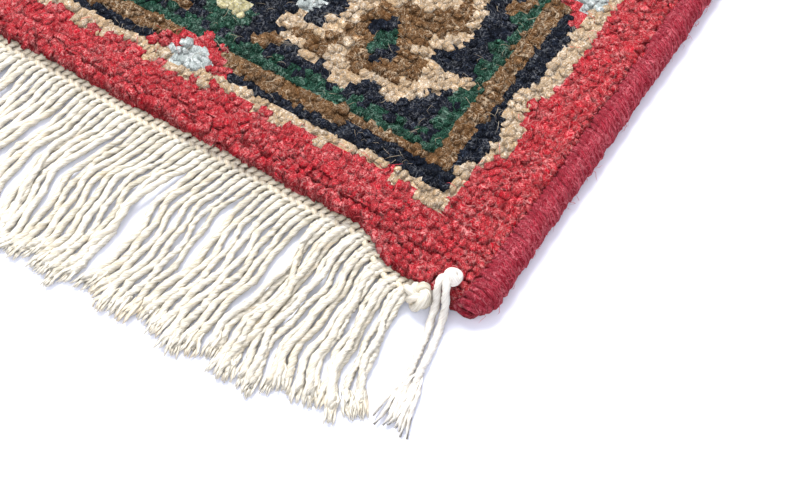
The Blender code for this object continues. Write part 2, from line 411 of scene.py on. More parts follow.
    def normal(self, tree: NodeTree, height: NodeSocket) -> NodeSocket:
        """Raises the fibres from the surface.

        Args:
            tree: The node tree.
            height: Socket with the fibres' height.

        Returns:
            The socket with the normal.
        """
        raised = {"Strength": 1.0, "Distance": self.relief * MM, "Height": height}
        bump = add_node(tree, "ShaderNodeBump", None, raised)
        if self.upright:
            # Fuzz on a pile passes light on evenly, so that its tufts shade as if they faced up.
            surface = add_node(tree, "ShaderNodeNewGeometry").outputs["Normal"]
            sides = {0: self.upright, 4: surface, 5: (0.0, 0.0, 1.0)}
            leaned = add_node(tree, "ShaderNodeMix", {"data_type": "VECTOR"}, sides).outputs[1]
            normal = add_node(tree, VECTOR_MATH, {"operation": "NORMALIZE"}, {0: leaned})
            tree.links.new(normal.outputs[0], bump.inputs["Normal"])
        return bump.outputs[0]

    @staticmethod
    def line(tree: NodeTree, noise: NodeSocket, whole: float, gone: float) -> NodeSocket:
        """Draws a line where a noise passes its middle value.

        Args:
            tree: The node tree.
            noise: Socket with the noise.
            whole: How far from the middle value the line is still whole.
            gone: How far from it the line is gone.

        Returns:
            The socket with the share of line.
        """
        away = add_node(tree, MATH, LESS, {0: noise, 1: 0.5}).outputs[0]
        near = add_node(tree, MATH, WITHOUT_SIGN, {0: away}).outputs[0]
        ends = {"Value": near, "From Min": whole, "From Max": gone, "To Min": 1.0, "To Max": 0.0}
        return add_node(tree, MAP_RANGE, None, ends).outputs[0]

    def swirled(self, tree: NodeTree) -> NodeSocket:
        """Gives places on the rug in millimetres, pushed about by a slow noise.

        Args:
            tree: The node tree.

        Returns:
            The socket with the places.
        """
        where = add_node(tree, "ShaderNodeTexCoord").outputs["Object"]
        place = add_node(tree, VECTOR_MATH, SCALED, {0: where, "Scale": 1.0 / MM}).outputs[0]
        noise = {"Vector": place, "Scale": 1.0 / self.swirl_size, "Detail": 0.0}
        push = add_node(tree, NOISE, None, noise).outputs["Color"]
        pushed = {0: push, 1: (self.swirl_push,) * 3, 2: place}
        return add_node(tree, VECTOR_MATH, TIMES_PLUS, pushed).outputs[0]

    def stray_lines(self, tree: NodeTree) -> NodeSocket:
        """Draws long thin hairs that wander over the tufts.

        Args:
            tree: The node tree.

        Returns:
            The socket with the share of hair.
        """
        where = add_node(tree, "ShaderNodeTexCoord").outputs["Object"]
        shares = []
        for number, size in enumerate((self.stray_size, 0.62 * self.stray_size)):
            cells = 1.0 / (size * MM)
            placed = {0: where, 1: (cells, cells, 0.2 * cells), 2: (7.0 * number, 3.0, 11.0 * number)}
            scaled = add_node(tree, VECTOR_MATH, TIMES_PLUS, placed).outputs[0]
            noise = {"Vector": scaled, "Scale": 1.0, "Detail": 1.0, "Roughness": 0.4, "Distortion": 1.2}
            line = self.line(tree, add_node(tree, NOISE, None, noise).outputs["Fac"], 0.006, 0.030)
            # Another, wider noise breaks the lines into single hairs.
            noise = {"Vector": scaled, "Scale": 0.45, "Detail": 0.0}
            breaks = add_node(tree, NOISE, None, noise).outputs["Fac"]
            ends = {"Value": breaks, "From Min": 0.40, "From Max": 0.50}
            shown = add_node(tree, MAP_RANGE, None, ends).outputs[0]
            shares.append(add_node(tree, MATH, TIMES, {0: line, 1: shown}).outputs[0])
        both = add_node(tree, MATH, {"operation": "MAXIMUM"}, dict(enumerate(shares))).outputs[0]
        return add_node(tree, MATH, TIMES, {0: both, 1: self.stray_share}).outputs[0]

    @staticmethod
    def mixed(tree: NodeTree, share: NodeSocket, first: object, second: object) -> NodeSocket:
        """Mixes two colours, each a socket or a value, by the share of the second one."""
        mix = add_node(tree, "ShaderNodeMix", {"data_type": "RGBA"}, {0: share, 6: first, 7: second})
        return mix.outputs[2]


PILE_YARN = {
    "width": 0.46,
    "run": 2.0,
    "curl": 0.9,
    "relief": 0.54,
    "tone_share": 0.32,
    "line_share": 0.55,
    "line_reach": 0.060,
    "contrast": 0.26,
    # Painted shade darkens the tufts towards their roots between these heights, as shade deep in the
    # pile.
    "root": (2.6, 4.1),
    "root_share": 0.58,
    "upright": 0.80,
    "detail": 2.5,
    "matted": True,
    "stray_share": 0.55,
}
PILE_FINISHES = {
    wool: FibreFinish(f"{name}_pile_wool", deep, base, light, stray=stray, **PILE_YARN)
    for wool, name, deep, base, light, stray in (
        (Wool.RED, "red", "#9A101E", "#E14C56", "#FA9896", "#F9ACA8"),
        (Wool.BEIGE, "beige", "#AA8C68", "#E6D0B2", "#FCF0DE", "#FFF6E6"),
        (Wool.NAVY, "navy", "#070911", "#1A212D", "#485264", "#7C7E82"),
        (Wool.BROWN, "brown", "#54371D", "#8E6B48", "#C8A680", "#E4CEB0"),
        (Wool.GREEN, "green", "#0A2419", "#28523F", "#629680", "#8CA898"),
        (Wool.PALE, "pale_blue", "#A4AEAB", "#CFD6D2", "#EEF2EE", "#FFFFFF"),
        (Wool.CREAM, "cream", "#ACA274", "#E0D8AE", "#F6F2D6", "#FFFFF0"),
    )
}
SELVEDGE_FINISH = FibreFinish(
    "overcast_wine_red_wool",
    "#6A0C1B",
    "#A42A3C",
    "#DC7880",
    width=0.34,
    run=2.6,
    curl=1.4,
    relief=0.22,
    contrast=0.36,
    stray="#E8868E",
    stray_share=0.42,
    stray_size=2.2,
    sheen=0.22,
)
SELVEDGE_HAIR = FibreFinish("loose_pink_red_wool_hair", "#A02E42", "#C85060", "#EE969C", relief=0.02)
LIGHT_HAIR = FibreFinish("loose_undyed_wool_hair", "#8E806C", "#B6A892", "#DCD0BC", relief=0.02)
RED_HAIR = FibreFinish("loose_red_wool_hair", "#C43A44", "#E8686A", "#F8A29C", relief=0.02)
COTTON_FINISH = FibreFinish(
    "plied_warp_cotton",
    "#A39A84",
    "#CBC5B7",
    "#E7E3D8",
    width=0.30,
    run=3.2,
    curl=0.5,
    relief=0.10,
    tone_share=0.12,
    line_share=0.25,
    stain="#E0C8A0",
    sheen=0.15,
)
FRAYED_FINISH = replace(COTTON_FINISH, name="frayed_warp_cotton", relief=0.03, deep="#C8BFAA")
PLAIT_FINISH = replace(
    COTTON_FINISH, name="plaited_warp_cotton", deep="#B4A180", base="#D8CFBD", light="#EEE9DD"
)
TIE_FINISH = replace(
    COTTON_FINISH, name="white_tie_cotton", deep="#B4AA9C", base="#D2CDC4", light="#E6E2DA", stain=None
)


@dataclass
class MeshDraft:
    """Gathers closed shapes into one mesh, with the attributes that the fibre finish reads."""

    points: list = field(default_factory=list)
    faces: list = field(default_factory=list)
    grain: list = field(default_factory=list)
    tone: list = field(default_factory=list)
    count: int = 0

    def add(
        self, points: np.ndarray, faces: Iterable[Sequence[int]], grain: np.ndarray, tone: float
    ) -> None:
        """Adds one closed shape.

        Args:
            points: Its points.
            faces: Its faces, as numbers of its points.
            grain: The place of each point in the yarn's frame, in millimetres.
            tone: The yarn's random number, from 0 to 1.
        """
        self.faces.extend([tuple(number + self.count for number in face) for face in faces])
        self.points.append(points)
        self.grain.append(grain)
        self.tone.append(np.full(len(points), tone))
        self.count += len(points)

    def mesh(self, name: str) -> Mesh:
        """Makes the mesh.

        Args:
            name: The mesh's name.

        Returns:
            A smooth shaded mesh.
        """
        mesh = bpy.data.meshes.new(name)
        mesh.from_pydata(np.concatenate(self.points).tolist(), [], self.faces)
        write_attribute(mesh, "grain", np.concatenate(self.grain))
        write_attribute(mesh, "tone", np.concatenate(self.tone))
        mesh.shade_smooth()
        return mesh

    def piece(self, name: str, material: Material, lowest: float = 0.0001) -> Object:
        """Makes an object of the gathered shapes.

        Args:
            name: The object's name.
            material: Its finish.
            lowest: The height below which no point may lie.

        Returns:
            The object, at the origin.
        """
        for points in self.points:
            points[:, 2] = np.maximum(points[:, 2], lowest)
        mesh = self.mesh(name)
        mesh.materials.append(material)
        return add_object(name, mesh)


def sweep(
    path: np.ndarray,
    radii: np.ndarray,
    sides: int,
    flat: float = 1.0,
    twist: float = 0.0,
    ring: bool = False,
) -> tuple[np.ndarray, list, np.ndarray]:
    """Runs a section along a path.

    Args:
        path: The path's points.
        radii: The section's radius at each point.
        sides: How many sides the section has.
        flat: The section's second radius as a share of the first.
        twist: Turns of the section for each metre of path.
        ring: Whether the path's end joins its start.

    Returns:
        Points, faces and grain of a closed tube.
    """
    count = len(path)
    if ring:
        tangents = np.roll(path, -1, axis=0) - np.roll(path, 1, axis=0)
    else:
        tangents = np.gradient(path, axis=0)
    tangents /= np.linalg.norm(tangents, axis=1)[:, None]
    run = np.concatenate([[0.0], np.cumsum(np.linalg.norm(np.diff(path, axis=0), axis=1))])
    helper = np.array([0.0, 0.0, 1.0]) if abs(tangents[0][2]) < 0.8 else np.array([1.0, 0.0, 0.0])
    normal = helper - tangents[0] * helper.dot(tangents[0])
    angles = 2.0 * math.pi * np.arange(sides) / sides
    points, grain = [], []
    for place in range(count):
        tangent = tangents[place]
        normal = normal - tangent * normal.dot(tangent)
        normal /= np.linalg.norm(normal)
        turned = 2.0 * math.pi * twist * run[place]
        first = normal * math.cos(turned) + np.cross(tangent, normal) * math.sin(turned)
        second = np.cross(tangent, first)
        wide, tall = radii[place] * np.cos(angles), radii[place] * flat * np.sin(angles)
        points.append(path[place] + np.outer(wide, first) + np.outer(tall, second))
        grain.append(np.stack([wide, tall, np.full(sides, run[place])], axis=1) / MM)
    faces = []
    for place in range(count if ring else count - 1):
        low, high = place * sides, (place + 1) % count * sides
        for side in range(sides):
            after = (side + 1) % sides
            faces.append((low + side, low + after, high + after, high + side))
    if not ring:
        faces.append(tuple(range(sides - 1, -1, -1)))
        faces.append(tuple(range((count - 1) * sides, count * sides)))
    return np.concatenate(points), faces, np.concatenate(grain)


def at_end(points: np.ndarray, back: bool) -> np.ndarray:
    """Turns points of the front end by half a turn about Z if they are meant for the back end."""
    return points * np.array([-1.0, -1.0, 1.0]) if back else points


@dataclass(frozen=True)
class PatternChart:
    """The rug's pattern, one letter for each knot.

    Columns are counted in from the nearer side edge and rows from the nearer end, so the four
    corners are alike. The charts below are drawn with the border's outer edge at the bottom.
    """

    columns: int = 127
    rows: int = 201
    rosette_first: int = 31
    rosette_top: int = 28
    patch_middle: int = 35
    end_repeat: int = 28
    side_middle: int = 33
    side_repeat: int = 27
    # The corner's last row and column, past which the patches and sprigs start.
    first_patch: tuple[int, int] = (20, 21)
    inner_border: int = 31
    field_start: int = 37
    corner_columns: int = 33
    # A stepped flower of the main border; its columns run from 31 down to 11.
    rosette: tuple[str, ...] = (
        "................B....",
        "...............BB....",
        "..............BOB....",
        ".............BBOOB...",
        "...........BBBOOOB...",
        ".........BBBBOOOOB...",
        ".......BBBOOOOOOOB...",
        "......BBOOOOOOOOBB...",
        ".....BBBOO.OOOOBB....",
        "......BBO..GOOOB.....",
        "..PP..BBO.GGOOBB.....",
        ".PP..BBOOOGG.OOOBBBBB",
        "..B..BBOOOG..OOOBBBB.",
        ".BBBBBOOBOO.OOOOBBB..",
        ".BBOOOOBBOOOOOOBBB...",
        "..BBBOOBBBOBBBBBB....",
        ".....BB.BBBB..BB.....",
        ".........BB..........",
    )
    # Half of a small stepped patch on the beige stripe, from its middle column, rows 9 to 5.
    patch: tuple[str, ...] = ("R    ", "RRR  ", "PPRR ", "PPPRR", "PP   ")
    # Half of a sprig between two rosettes, from its middle column, rows 14 to 11.
    sprig: tuple[str, ...] = ("CC      ", "CCG     ", "GGG  OO ", "GG  OO  ")
    # Where the red edge and the beige stripe end along the sides, up to each row.
    side_edges: tuple[tuple[int, tuple[int, int]], ...] = (
        (9, (6, 7)), (11, (5, 6)), (15, (4, 6)), (19, (5, 7)), (999, (4, 6)),
    )
    # How many knots past its four rows the red edge is deep, by column from 5 to 35.
    teeth: str = "1000110211111101110010111110100"

    def wool(self, column: int, row: int) -> Wool:
        """Gives the wool of one knot.

        Args:
            column: The knot's column, from the +X side.
            row: The knot's row, from the front end; it may lie outside the chart.

        Returns:
            The wool.
        """
        across = min(column, self.columns - 1 - column)
        along = min(row, self.rows - 1 - row)
        inner = min(across, along)
        if inner >= self.field_start:
            return self.field(across, along)
        if inner >= self.inner_border:
            order = (Wool.GREEN, Wool.BROWN, Wool.BROWN, Wool.NAVY, Wool.BEIGE, Wool.BEIGE)
            return order[inner - self.inner_border]
        drawn = self.drawn(across, along)
        return drawn or self.stripes(across, along)

    def stripes(self, across: int, along: int) -> Wool:
        """Gives the wool of the border's stripes, which meet in a mitre.

        Args:
            across: Columns in from the side edge.
            along: Rows in from the end.

        Returns:
            The wool, navy for the main border's ground.
        """
        order = (Wool.RED, Wool.BEIGE, Wool.NAVY, Wool.BROWN, Wool.GREEN, Wool.NAVY)
        place = self.folded(across, self.patch_middle, self.end_repeat)
        tooth = self.teeth[min(max(place - 5, 0), len(self.teeth) - 1)]
        end_edges = (4 + int(tooth), 6, 8 if place <= 18 else 7, 9, 10)
        place = self.folded(along, self.side_middle, self.side_repeat)
        side_edges = (*next(edges for last, edges in self.side_edges if place <= last), 8, 10, 11)
        # A knot belongs to the outermost stripe that either edge puts it in.
        rank = min(
            int(np.searchsorted(side_edges, across, side="right")),
            int(np.searchsorted(end_edges, along, side="right")),
        )
        # The green line is one knot wide, and strays into the ground here and there.
        strays = (across == 11 or along == 10) and (3 * across + 5 * along) % 7 < 4
        return Wool.GREEN if rank == 5 and strays else order[rank]

    @staticmethod
    def folded(place: int, middle: int, spacing: int) -> int:
        """Folds a repeat back and forth, so that each motif is the mirror of the next one.

        Args:
            place: The place along the border.
            middle: The place of the first fold.
            spacing: The distance between folds.

        Returns:
            The place in the first repeat.
        """
        if place <= middle:
            return place
        return middle - abs((place - middle + spacing) % (2 * spacing) - spacing)

    def drawn(self, across: int, along: int) -> Optional[Wool]:
        """Gives the wool that a motif of the main border puts on a knot.

        Args:
            across: Columns in from the side edge.
            along: Rows in from the end.

        Returns:
            The wool, or None where no motif is.
        """
        if along > across:
            run, depth, past = along, across, self.first_patch[0]
            middle, repeat, shift = self.side_middle, self.side_repeat, 2
        else:
            run, depth, past = across, along, self.first_patch[1]
            middle, repeat, shift = self.patch_middle, self.end_repeat, 0
        place = self.folded(run, middle, repeat) + shift
        # The patch and the sprig are read from their middle out, and the corner has neither.
        away = int(abs((run - middle + repeat / 2) % repeat - repeat / 2)) if run > past else repeat
        found = self.letter(self.patch, 9 - depth, away) or self.letter(self.sprig, 14 - depth, away)
        if found:
            return found
        if across <= self.corner_columns and along <= self.corner_columns:
            place, depth = across, along
        letter = self.letter(self.rosette, self.rosette_top - depth, self.rosette_first - place)
        return letter if letter is not Wool.NAVY else None

    @staticmethod
    def letter(chart: Sequence[str], row: int, column: int) -> Optional[Wool]:
        """Reads one knot of a chart.

        Args:
            chart: The chart's rows.
            row: The row, from the top.
            column: The column, from the left.

        Returns:
            The wool there, or None off the chart or on a space.
        """
        if not (0 <= row < len(chart) and 0 <= column < len(chart[row])):
            return None
        mark = chart[row][column]
        return None if mark == " " else Wool(mark)

    def field(self, across: int, along: int) -> Wool:
        """Gives the wool of a knot of the red field, with small flowers and a stepped medallion.

        Args:
            across: Columns in from the side edge.
            along: Rows in from the end.

        Returns:
            The wool.
        """
        centre_across, centre_along = (self.columns - 1) // 2, (self.rows - 1) // 2
        steps = abs(across - centre_across) + 0.66 * abs(along - centre_along)
        bands = ((7, Wool.BEIGE), (9, Wool.BROWN), (15, Wool.NAVY), (17, Wool.GREEN), (19, Wool.BEIGE))
        if steps < 3:
            return Wool.RED
        for limit, wool in bands:
            if steps < limit:
                return wool
        if steps < 22:
            return Wool.RED
        turn = (along - centre_along) // 12 % 2
        left = abs((across - centre_across + 6 * turn + 6) % 12 - 6)
        up = abs((along - centre_along) % 12 - 6)
        ring = left + up
        if ring == 0:
            return Wool.CREAM
        if ring == 1:
            return Wool.GREEN
        return {2: Wool.NAVY, 3: Wool.BEIGE if left * up == 0 else Wool.NAVY}.get(ring, Wool.RED)


CHART = PatternChart()


@dataclass(frozen=True)
class EdgeTier:
    """A line of short tufts along the pile's edge, which lean out over what borders it, with painted
    shade in their lower tones.
    """

    height: float
    inset: float
    upward: float
    at_ends: bool = True
    scatter: float = 0.25
    # Tones mostly below those of the pile, which paint shade on the edge's tufts where they hang over.
    tones: tuple[float, float] = (-0.6, 0.4)
    pitch: float = 0.0021
    jitter: float = 0.0003
    squat: float = 0.62

    def tufts(self, random: np.random.Generator, side: float) -> dict[str, np.ndarray]:
        """Lists the tufts along one edge.

        Args:
            random: The source of their unevenness.
            side: Which of the two edges it is, -1 or 1.

        Returns:
            Arrays like those of the knots' table.
        """
        if self.at_ends:
            steps = np.arange(-RUG.width / 2 + 0.001, RUG.width / 2 - 0.0005, self.pitch)
        else:
            steps = np.arange(-RUG.length / 2 + self.inset, RUG.length / 2 - self.inset, self.pitch)
        count = len(steps)
        run = steps + random.normal(0.0, self.jitter, count)
        edge = RUG.end_line(-run * side) if self.at_ends else RUG.width / 2
        out = side * (edge - self.inset + random.normal(0.0, self.jitter, count))
        across, along = (run, out) if self.at_ends else (out, run)
        level = self.height * RUG.top(across, along) / RUG.height
        level = level + random.normal(0.0, self.jitter, count)
        loose, outward = random.normal(0.0, self.scatter, count), np.full(count, side)
        sideways = (loose, outward) if self.at_ends else (outward, loose)
        lean = np.stack([*sideways, np.full(count, self.upward)], axis=1)
        size = random.uniform(0.85, 1.15, count)
        return {
            "place": np.stack([across, along, level], axis=1),
            "wool": np.full(count, Wool.RED.value),
            "turn": tilted_turns(lean, random.uniform(0.0, 2.0 * math.pi, count)),
            "stretch": np.stack([size, size, self.squat * size], axis=1),
            "tone": random.uniform(*self.tones, count),
        }


@dataclass(frozen=True)
class Knots:
    """Places of the pile's knots, and how each tuft stands."""

    pitch: float = 0.003
    base: float = 0.0050
    jitter: float = 0.00055
    end_lean: float = 0.36
    side_lean: float = 0.55
    loose_lean: float = 0.16
    lean_reach: float = 0.0032
    low_rim: float = 0.10
    low_rim_reach: float = 0.0016
    dye_across: float = 390.0
    dye_along: float = 230.0
    # Rows past the chart at each end, which fill the flared corners.
    extra_rows: int = 3
    # The edges' tufts, by height, distance in from the edge, and how steeply they rise.
    rim_tiers: tuple[EdgeTier, ...] = (
        EdgeTier(0.0018, 0.0028, 0.05),
        EdgeTier(0.0042, 0.0024, 0.15),
        EdgeTier(0.0064, 0.0024, 0.45),
        EdgeTier(0.0061, 0.0012, 0.95, at_ends=False, scatter=0.30, tones=(-0.3, 0.6)),
    )
    seed: int = 11

    def place(self, column: np.ndarray, row: np.ndarray) -> tuple[np.ndarray, np.ndarray]:
        """Gives where a knot, or a corner of its cell, lies.

        Args:
            column: Columns from the +X side; whole numbers are the middles of knots.
            row: Rows from the front end.

        Returns:
            Places across and along the rug.
        """
        across = RUG.width / 2 - self.pitch * (np.asarray(column, float) + 0.5)
        along = self.pitch * (np.asarray(row, float) - (CHART.rows - 1) / 2)
        return across, along

    def table(self) -> dict[str, np.ndarray]:
        """Lists every knot.

        Returns:
            Arrays of the knots' place, wool, turn, stretch and tone.
        """
        random = np.random.default_rng(self.seed)
        all_rows = np.arange(-self.extra_rows, CHART.rows + self.extra_rows)
        columns, rows = np.meshgrid(np.arange(CHART.columns), all_rows)
        columns, rows = columns.ravel(), rows.ravel()
        across, along = self.place(columns, rows)
        line = RUG.end_line(-across * np.sign(along))
        # The rows past the chart share out what the flare adds to the ends.
        beyond = np.maximum(-rows, rows - CHART.rows + 1)
        flared = line - RUG.length / 2
        number = np.round(flared / self.pitch)
        spread = RUG.length / 2 + (beyond - 0.5) * flared / np.maximum(number, 1.0)
        along = np.where(beyond > 0, np.sign(along) * spread, along)
        kept = beyond <= number
        columns, rows, across, along, line = (
            values[kept] for values in (columns, rows, across, along, line)
        )
        wools = np.array([CHART.wool(int(c), int(r)).value for c, r in zip(columns, rows)])
        count = len(columns)
        across = across + random.uniform(-self.jitter, self.jitter, count)
        along = along + random.uniform(-self.jitter, self.jitter, count)
        to_end, to_side = line - np.abs(along), RUG.width / 2 - np.abs(across)
        lean_along = self.end_lean * np.exp(-np.maximum(to_end - 0.001, 0.0) / self.lean_reach)
        lean_across = self.side_lean * np.exp(-to_side / self.lean_reach)
        lean = np.stack(
            [
                np.sign(across) * lean_across + random.normal(0.0, self.loose_lean, count),
                np.sign(along) * lean_along + random.normal(0.0, self.loose_lean, count),
                np.ones(count),
            ],
            axis=1,
        )
        low_rim = 1.0 - self.low_rim * np.exp(-to_end / self.low_rim_reach)
        tall = (RUG.top(across, along) * low_rim - self.base) * random.normal(0.98, 0.06, count)
        wide = random.uniform(0.92, 1.15, count)
        spin = random.normal(0.0, 0.45, count) + math.pi * random.integers(0, 2, count)
        # The dye took a little more here and a little less there.
        waves = np.sin(across * self.dye_across + 2.0 * np.sin(along * self.dye_along))
        dye = 0.5 + 0.3 * waves * np.cos(along * self.dye_across + 1.7 * np.sin(across * self.dye_along))
        return {
            "place": np.stack([across, along, np.full(count, self.base)], axis=1),
            "wool": wools,
            "turn": tilted_turns(lean, spin),
            "stretch": np.stack([wide, wide, tall / TUFTS.height], axis=1),
            "tone": 0.5 * dye + 0.5 * random.uniform(0.0, 1.0, count),
        }

    def rim(self) -> dict[str, np.ndarray]:
        """Lists the short tufts of the edges, which hang out over the plaited bands and selvedges.

        Returns:
            Arrays like those of the table.
        """
        random = np.random.default_rng(self.seed + 1)
        parts = [tier.tufts(random, side) for tier in self.rim_tiers for side in (-1.0, 1.0)]
        return {key: np.concatenate([part[key] for part in parts]) for key in parts[0]}


def tilted_turns(upright: np.ndarray, spin: np.ndarray) -> np.ndarray:
    """Gives Euler turns that spin a shape about Z and then tilt its Z axis.

    Args:
        upright: Where each shape's Z axis points.
        spin: The spin about Z before the tilt, in radians.

    Returns:
        XYZ Euler angles.
    """
    third = upright / np.linalg.norm(upright, axis=1)[:, None]
    first = np.stack([third[:, 2], np.zeros(len(third)), -third[:, 0]], axis=1)
    first /= np.linalg.norm(first, axis=1)[:, None]
    second = np.cross(third, first)
    cosine, sine = np.cos(spin)[:, None], np.sin(spin)[:, None]
    first, second = first * cosine + second * sine, second * cosine - first * sine
    about_x = np.arctan2(second[:, 2], third[:, 2])
    about_y = -np.arcsin(np.clip(first[:, 2], -1.0, 1.0))
    return np.stack([about_x, about_y, np.arctan2(first[:, 1], first[:, 0])], axis=1)


def scatter_tree() -> NodeTree:
    """Builds the node tree that sets shapes on places.

    Returns:
        A Geometry Nodes tree with inputs Places, Shapes, Finish, Unevenness and Seed.
    """
    tree = bpy.data.node_groups.new("shapes_on_places", "GeometryNodeTree")
    sockets = {
        "Places": "Geometry",
        "Shapes": "Collection",
        "Finish": "Material",
        "Unevenness": "Float",
        "Seed": "Int",
    }
    for name, kind in sockets.items():
        tree.interface.new_socket(name, in_out="INPUT", socket_type=f"NodeSocket{kind}")
    tree.interface.new_socket("Pieces", in_out="OUTPUT", socket_type="NodeSocketGeometry")
    given = add_node(tree, "NodeGroupInput").outputs
    taken = {"Collection": given["Shapes"], "Separate Children": True, "Reset Children": True}
    shapes = add_node(tree, "GeometryNodeCollectionInfo", {"transform_space": "ORIGINAL"}, taken)
    named = {}
    for name, kind in (("turn", "FLOAT_VECTOR"), ("stretch", "FLOAT_VECTOR"), ("shape", "INT")):
        reader = add_node(tree, "GeometryNodeInputNamedAttribute", {"data_type": kind}, {"Name": name})
        named[name] = reader.outputs["Attribute"]
    least = add_node(tree, MATH, LESS, {0: 1.0, 1: given["Unevenness"]}).outputs[0]
    most = add_node(tree, MATH, PLUS, {0: 1.0, 1: given["Unevenness"]}).outputs[0]
    bounds = {2: least, 3: most, "Seed": given["Seed"]}
    change = add_node(tree, "FunctionNodeRandomValue", {"data_type": "FLOAT"}, bounds).outputs[1]
    size = add_node(tree, VECTOR_MATH, SCALED, {0: named["stretch"], "Scale": change}).outputs[0]
    spread = {
        "Points": given["Places"],
        "Instance": shapes.outputs[0],
        "Pick Instance": True,
        "Instance Index": named["shape"],
        "Rotation": named["turn"],
        "Scale": size,
    }
    placed = add_node(tree, "GeometryNodeInstanceOnPoints", None, spread).outputs[0]
    real = add_node(tree, "GeometryNodeRealizeInstances", None, {"Geometry": placed}).outputs[0]
    dressed = {"Geometry": real, "Material": given["Finish"]}
    finished = add_node(tree, "GeometryNodeSetMaterial", None, dressed).outputs[0]
    add_node(tree, "NodeGroupOutput", None, {0: finished})
    return tree


@dataclass
class Scatter:
    """Sets variants of a small shape on many places, as one plain mesh."""

    tree: NodeTree

    def shapes(self, name: str, drafts: Sequence[MeshDraft]) -> Collection:
        """Puts the variants of a shape in a collection of their own.

        Args:
            name: The collection's name.
            drafts: The variants.

        Returns:
            The collection.
        """
        collection = bpy.data.collections.new(name)
        bpy.context.scene.collection.children.link(collection)
        for number, draft in enumerate(drafts):
            variant = bpy.data.objects.new(f"{name}_{number:02d}", draft.mesh(f"{name}_{number:02d}"))
            collection.objects.link(variant)
        return collection

    def run(
        self,
        name: str,
        places: dict[str, np.ndarray],
        shapes: Collection,
        material: Material,
        unevenness: float = 0.04,
        seed: int = 3,
        lowest: float = 0.0001,
    ) -> Object:
        """Makes one piece.

        Args:
            name: The piece's name.
            places: Arrays named place, turn, stretch, shape and tone.
            shapes: The collection of variants.
            material: The piece's finish.
            unevenness: How much the sizes differ, as a share.
            seed: The seed of that difference.
            lowest: The height below which no point may lie.

        Returns:
            The piece, a plain mesh at the origin.
        """
        mesh = bpy.data.meshes.new(f"{name}_places")
        mesh.from_pydata(places["place"].tolist(), [], [])
        for key in ("turn", "stretch", "tone", "shape"):
            write_attribute(mesh, key, places[key])
        source = add_object(f"{name}_places", mesh)
        modifier = source.modifiers.new("shapes", "NODES")
        modifier.node_group = self.tree
        given = {"Shapes": shapes, "Finish": material, "Unevenness": unevenness, "Seed": seed}
        for socket in self.tree.interface.items_tree:
            if socket.name in given:
                modifier[socket.identifier] = given[socket.name]
        graph = bpy.context.evaluated_depsgraph_get()
        made = bpy.data.meshes.new_from_object(source.evaluated_get(graph), depsgraph=graph)
        made.name = name
        for key in ("turn", "stretch", "shape"):
            if key in made.attributes:
                made.attributes.remove(made.attributes[key])
        places_now = np.empty(3 * len(made.vertices), np.float32)
        made.vertices.foreach_get("co", places_now)
        places_now[2::3] = np.maximum(places_now[2::3], lowest)
        made.vertices.foreach_set("co", places_now)
        piece = add_object(name, made)
        bpy.data.objects.remove(source)
        LOG.info("%s: %d shapes, %d faces", name, len(places["place"]), len(made.polygons))
        return piece

    @staticmethod
    def clear(collection: Collection) -> None:
        """Removes the variants once all pieces are made.

        Args:
            collection: The collection of variants.
        """
        for variant in list(collection.objects):
            bpy.data.objects.remove(variant)
        bpy.data.collections.remove(collection)


@dataclass(frozen=True)
class TuftShapes:
    """Variants of the tuft of one knot: its two cut yarn ends, opened out side by side."""

    height: float = 0.0048
    variants: int = 16
    sides: int = 5
    half_width: float = 0.00145
    half_depth: float = 0.00190
    spread: float = 0.00078
    shoulder: float = 0.83
    seed: int = 5

    def drafts(self) -> list[MeshDraft]:
        """Makes the variants.

        Returns:
            One draft for each.
        """
        random = np.random.default_rng(self.seed)
        made = []
        for _ in range(self.variants):
            draft = MeshDraft()
            for side in (-1.0, 1.0):
                self.add_end(draft, random, side)
            made.append(draft)
        return made

    def add_end(self, draft: MeshDraft, random: np.random.Generator, side: float) -> None:
        """Adds one yarn end: thin at its foot, widest near its top, with a blunt crooked tip.

        Args:
            draft: The tuft.
            random: The source of its unevenness.
            side: On which side of the tuft's middle it stands, -1 or 1.
        """
        middle = np.array([side * self.spread, 0.0, 0.0])
        middle[:2] += random.normal(0.0, 0.00030, 2)
        turned = 2.0 * math.pi * np.arange(self.sides) / self.sides
        angles = random.uniform(0.0, 2.0 * math.pi) + turned
        uneven = random.uniform(0.72, 1.22, self.sides)
        wide = self.half_width * uneven * np.cos(angles)
        deep = self.half_depth * uneven * np.sin(angles)
        heights = self.height * (self.shoulder + random.uniform(-0.10, 0.09, self.sides))
        ring = middle + np.stack([wide, deep, heights], axis=1)
        tip = middle + np.append(random.normal(0.0, 0.00042, 2), 0.0)
        tip[2] = self.height * random.uniform(0.93, 1.10)
        points = np.concatenate([[middle * 0.6], ring, [tip]])
        faces = []
        for place in range(self.sides):
            after = (place + 1) % self.sides
            faces.append((0, 1 + after, 1 + place))
            faces.append((1 + place, 1 + after, self.sides + 1))
        draft.add(points, faces, (points - middle) / MM + np.array([3.1 * side, 0.0, 0.0]), 0.0)


TUFTS = TuftShapes()
KNOTS = Knots()


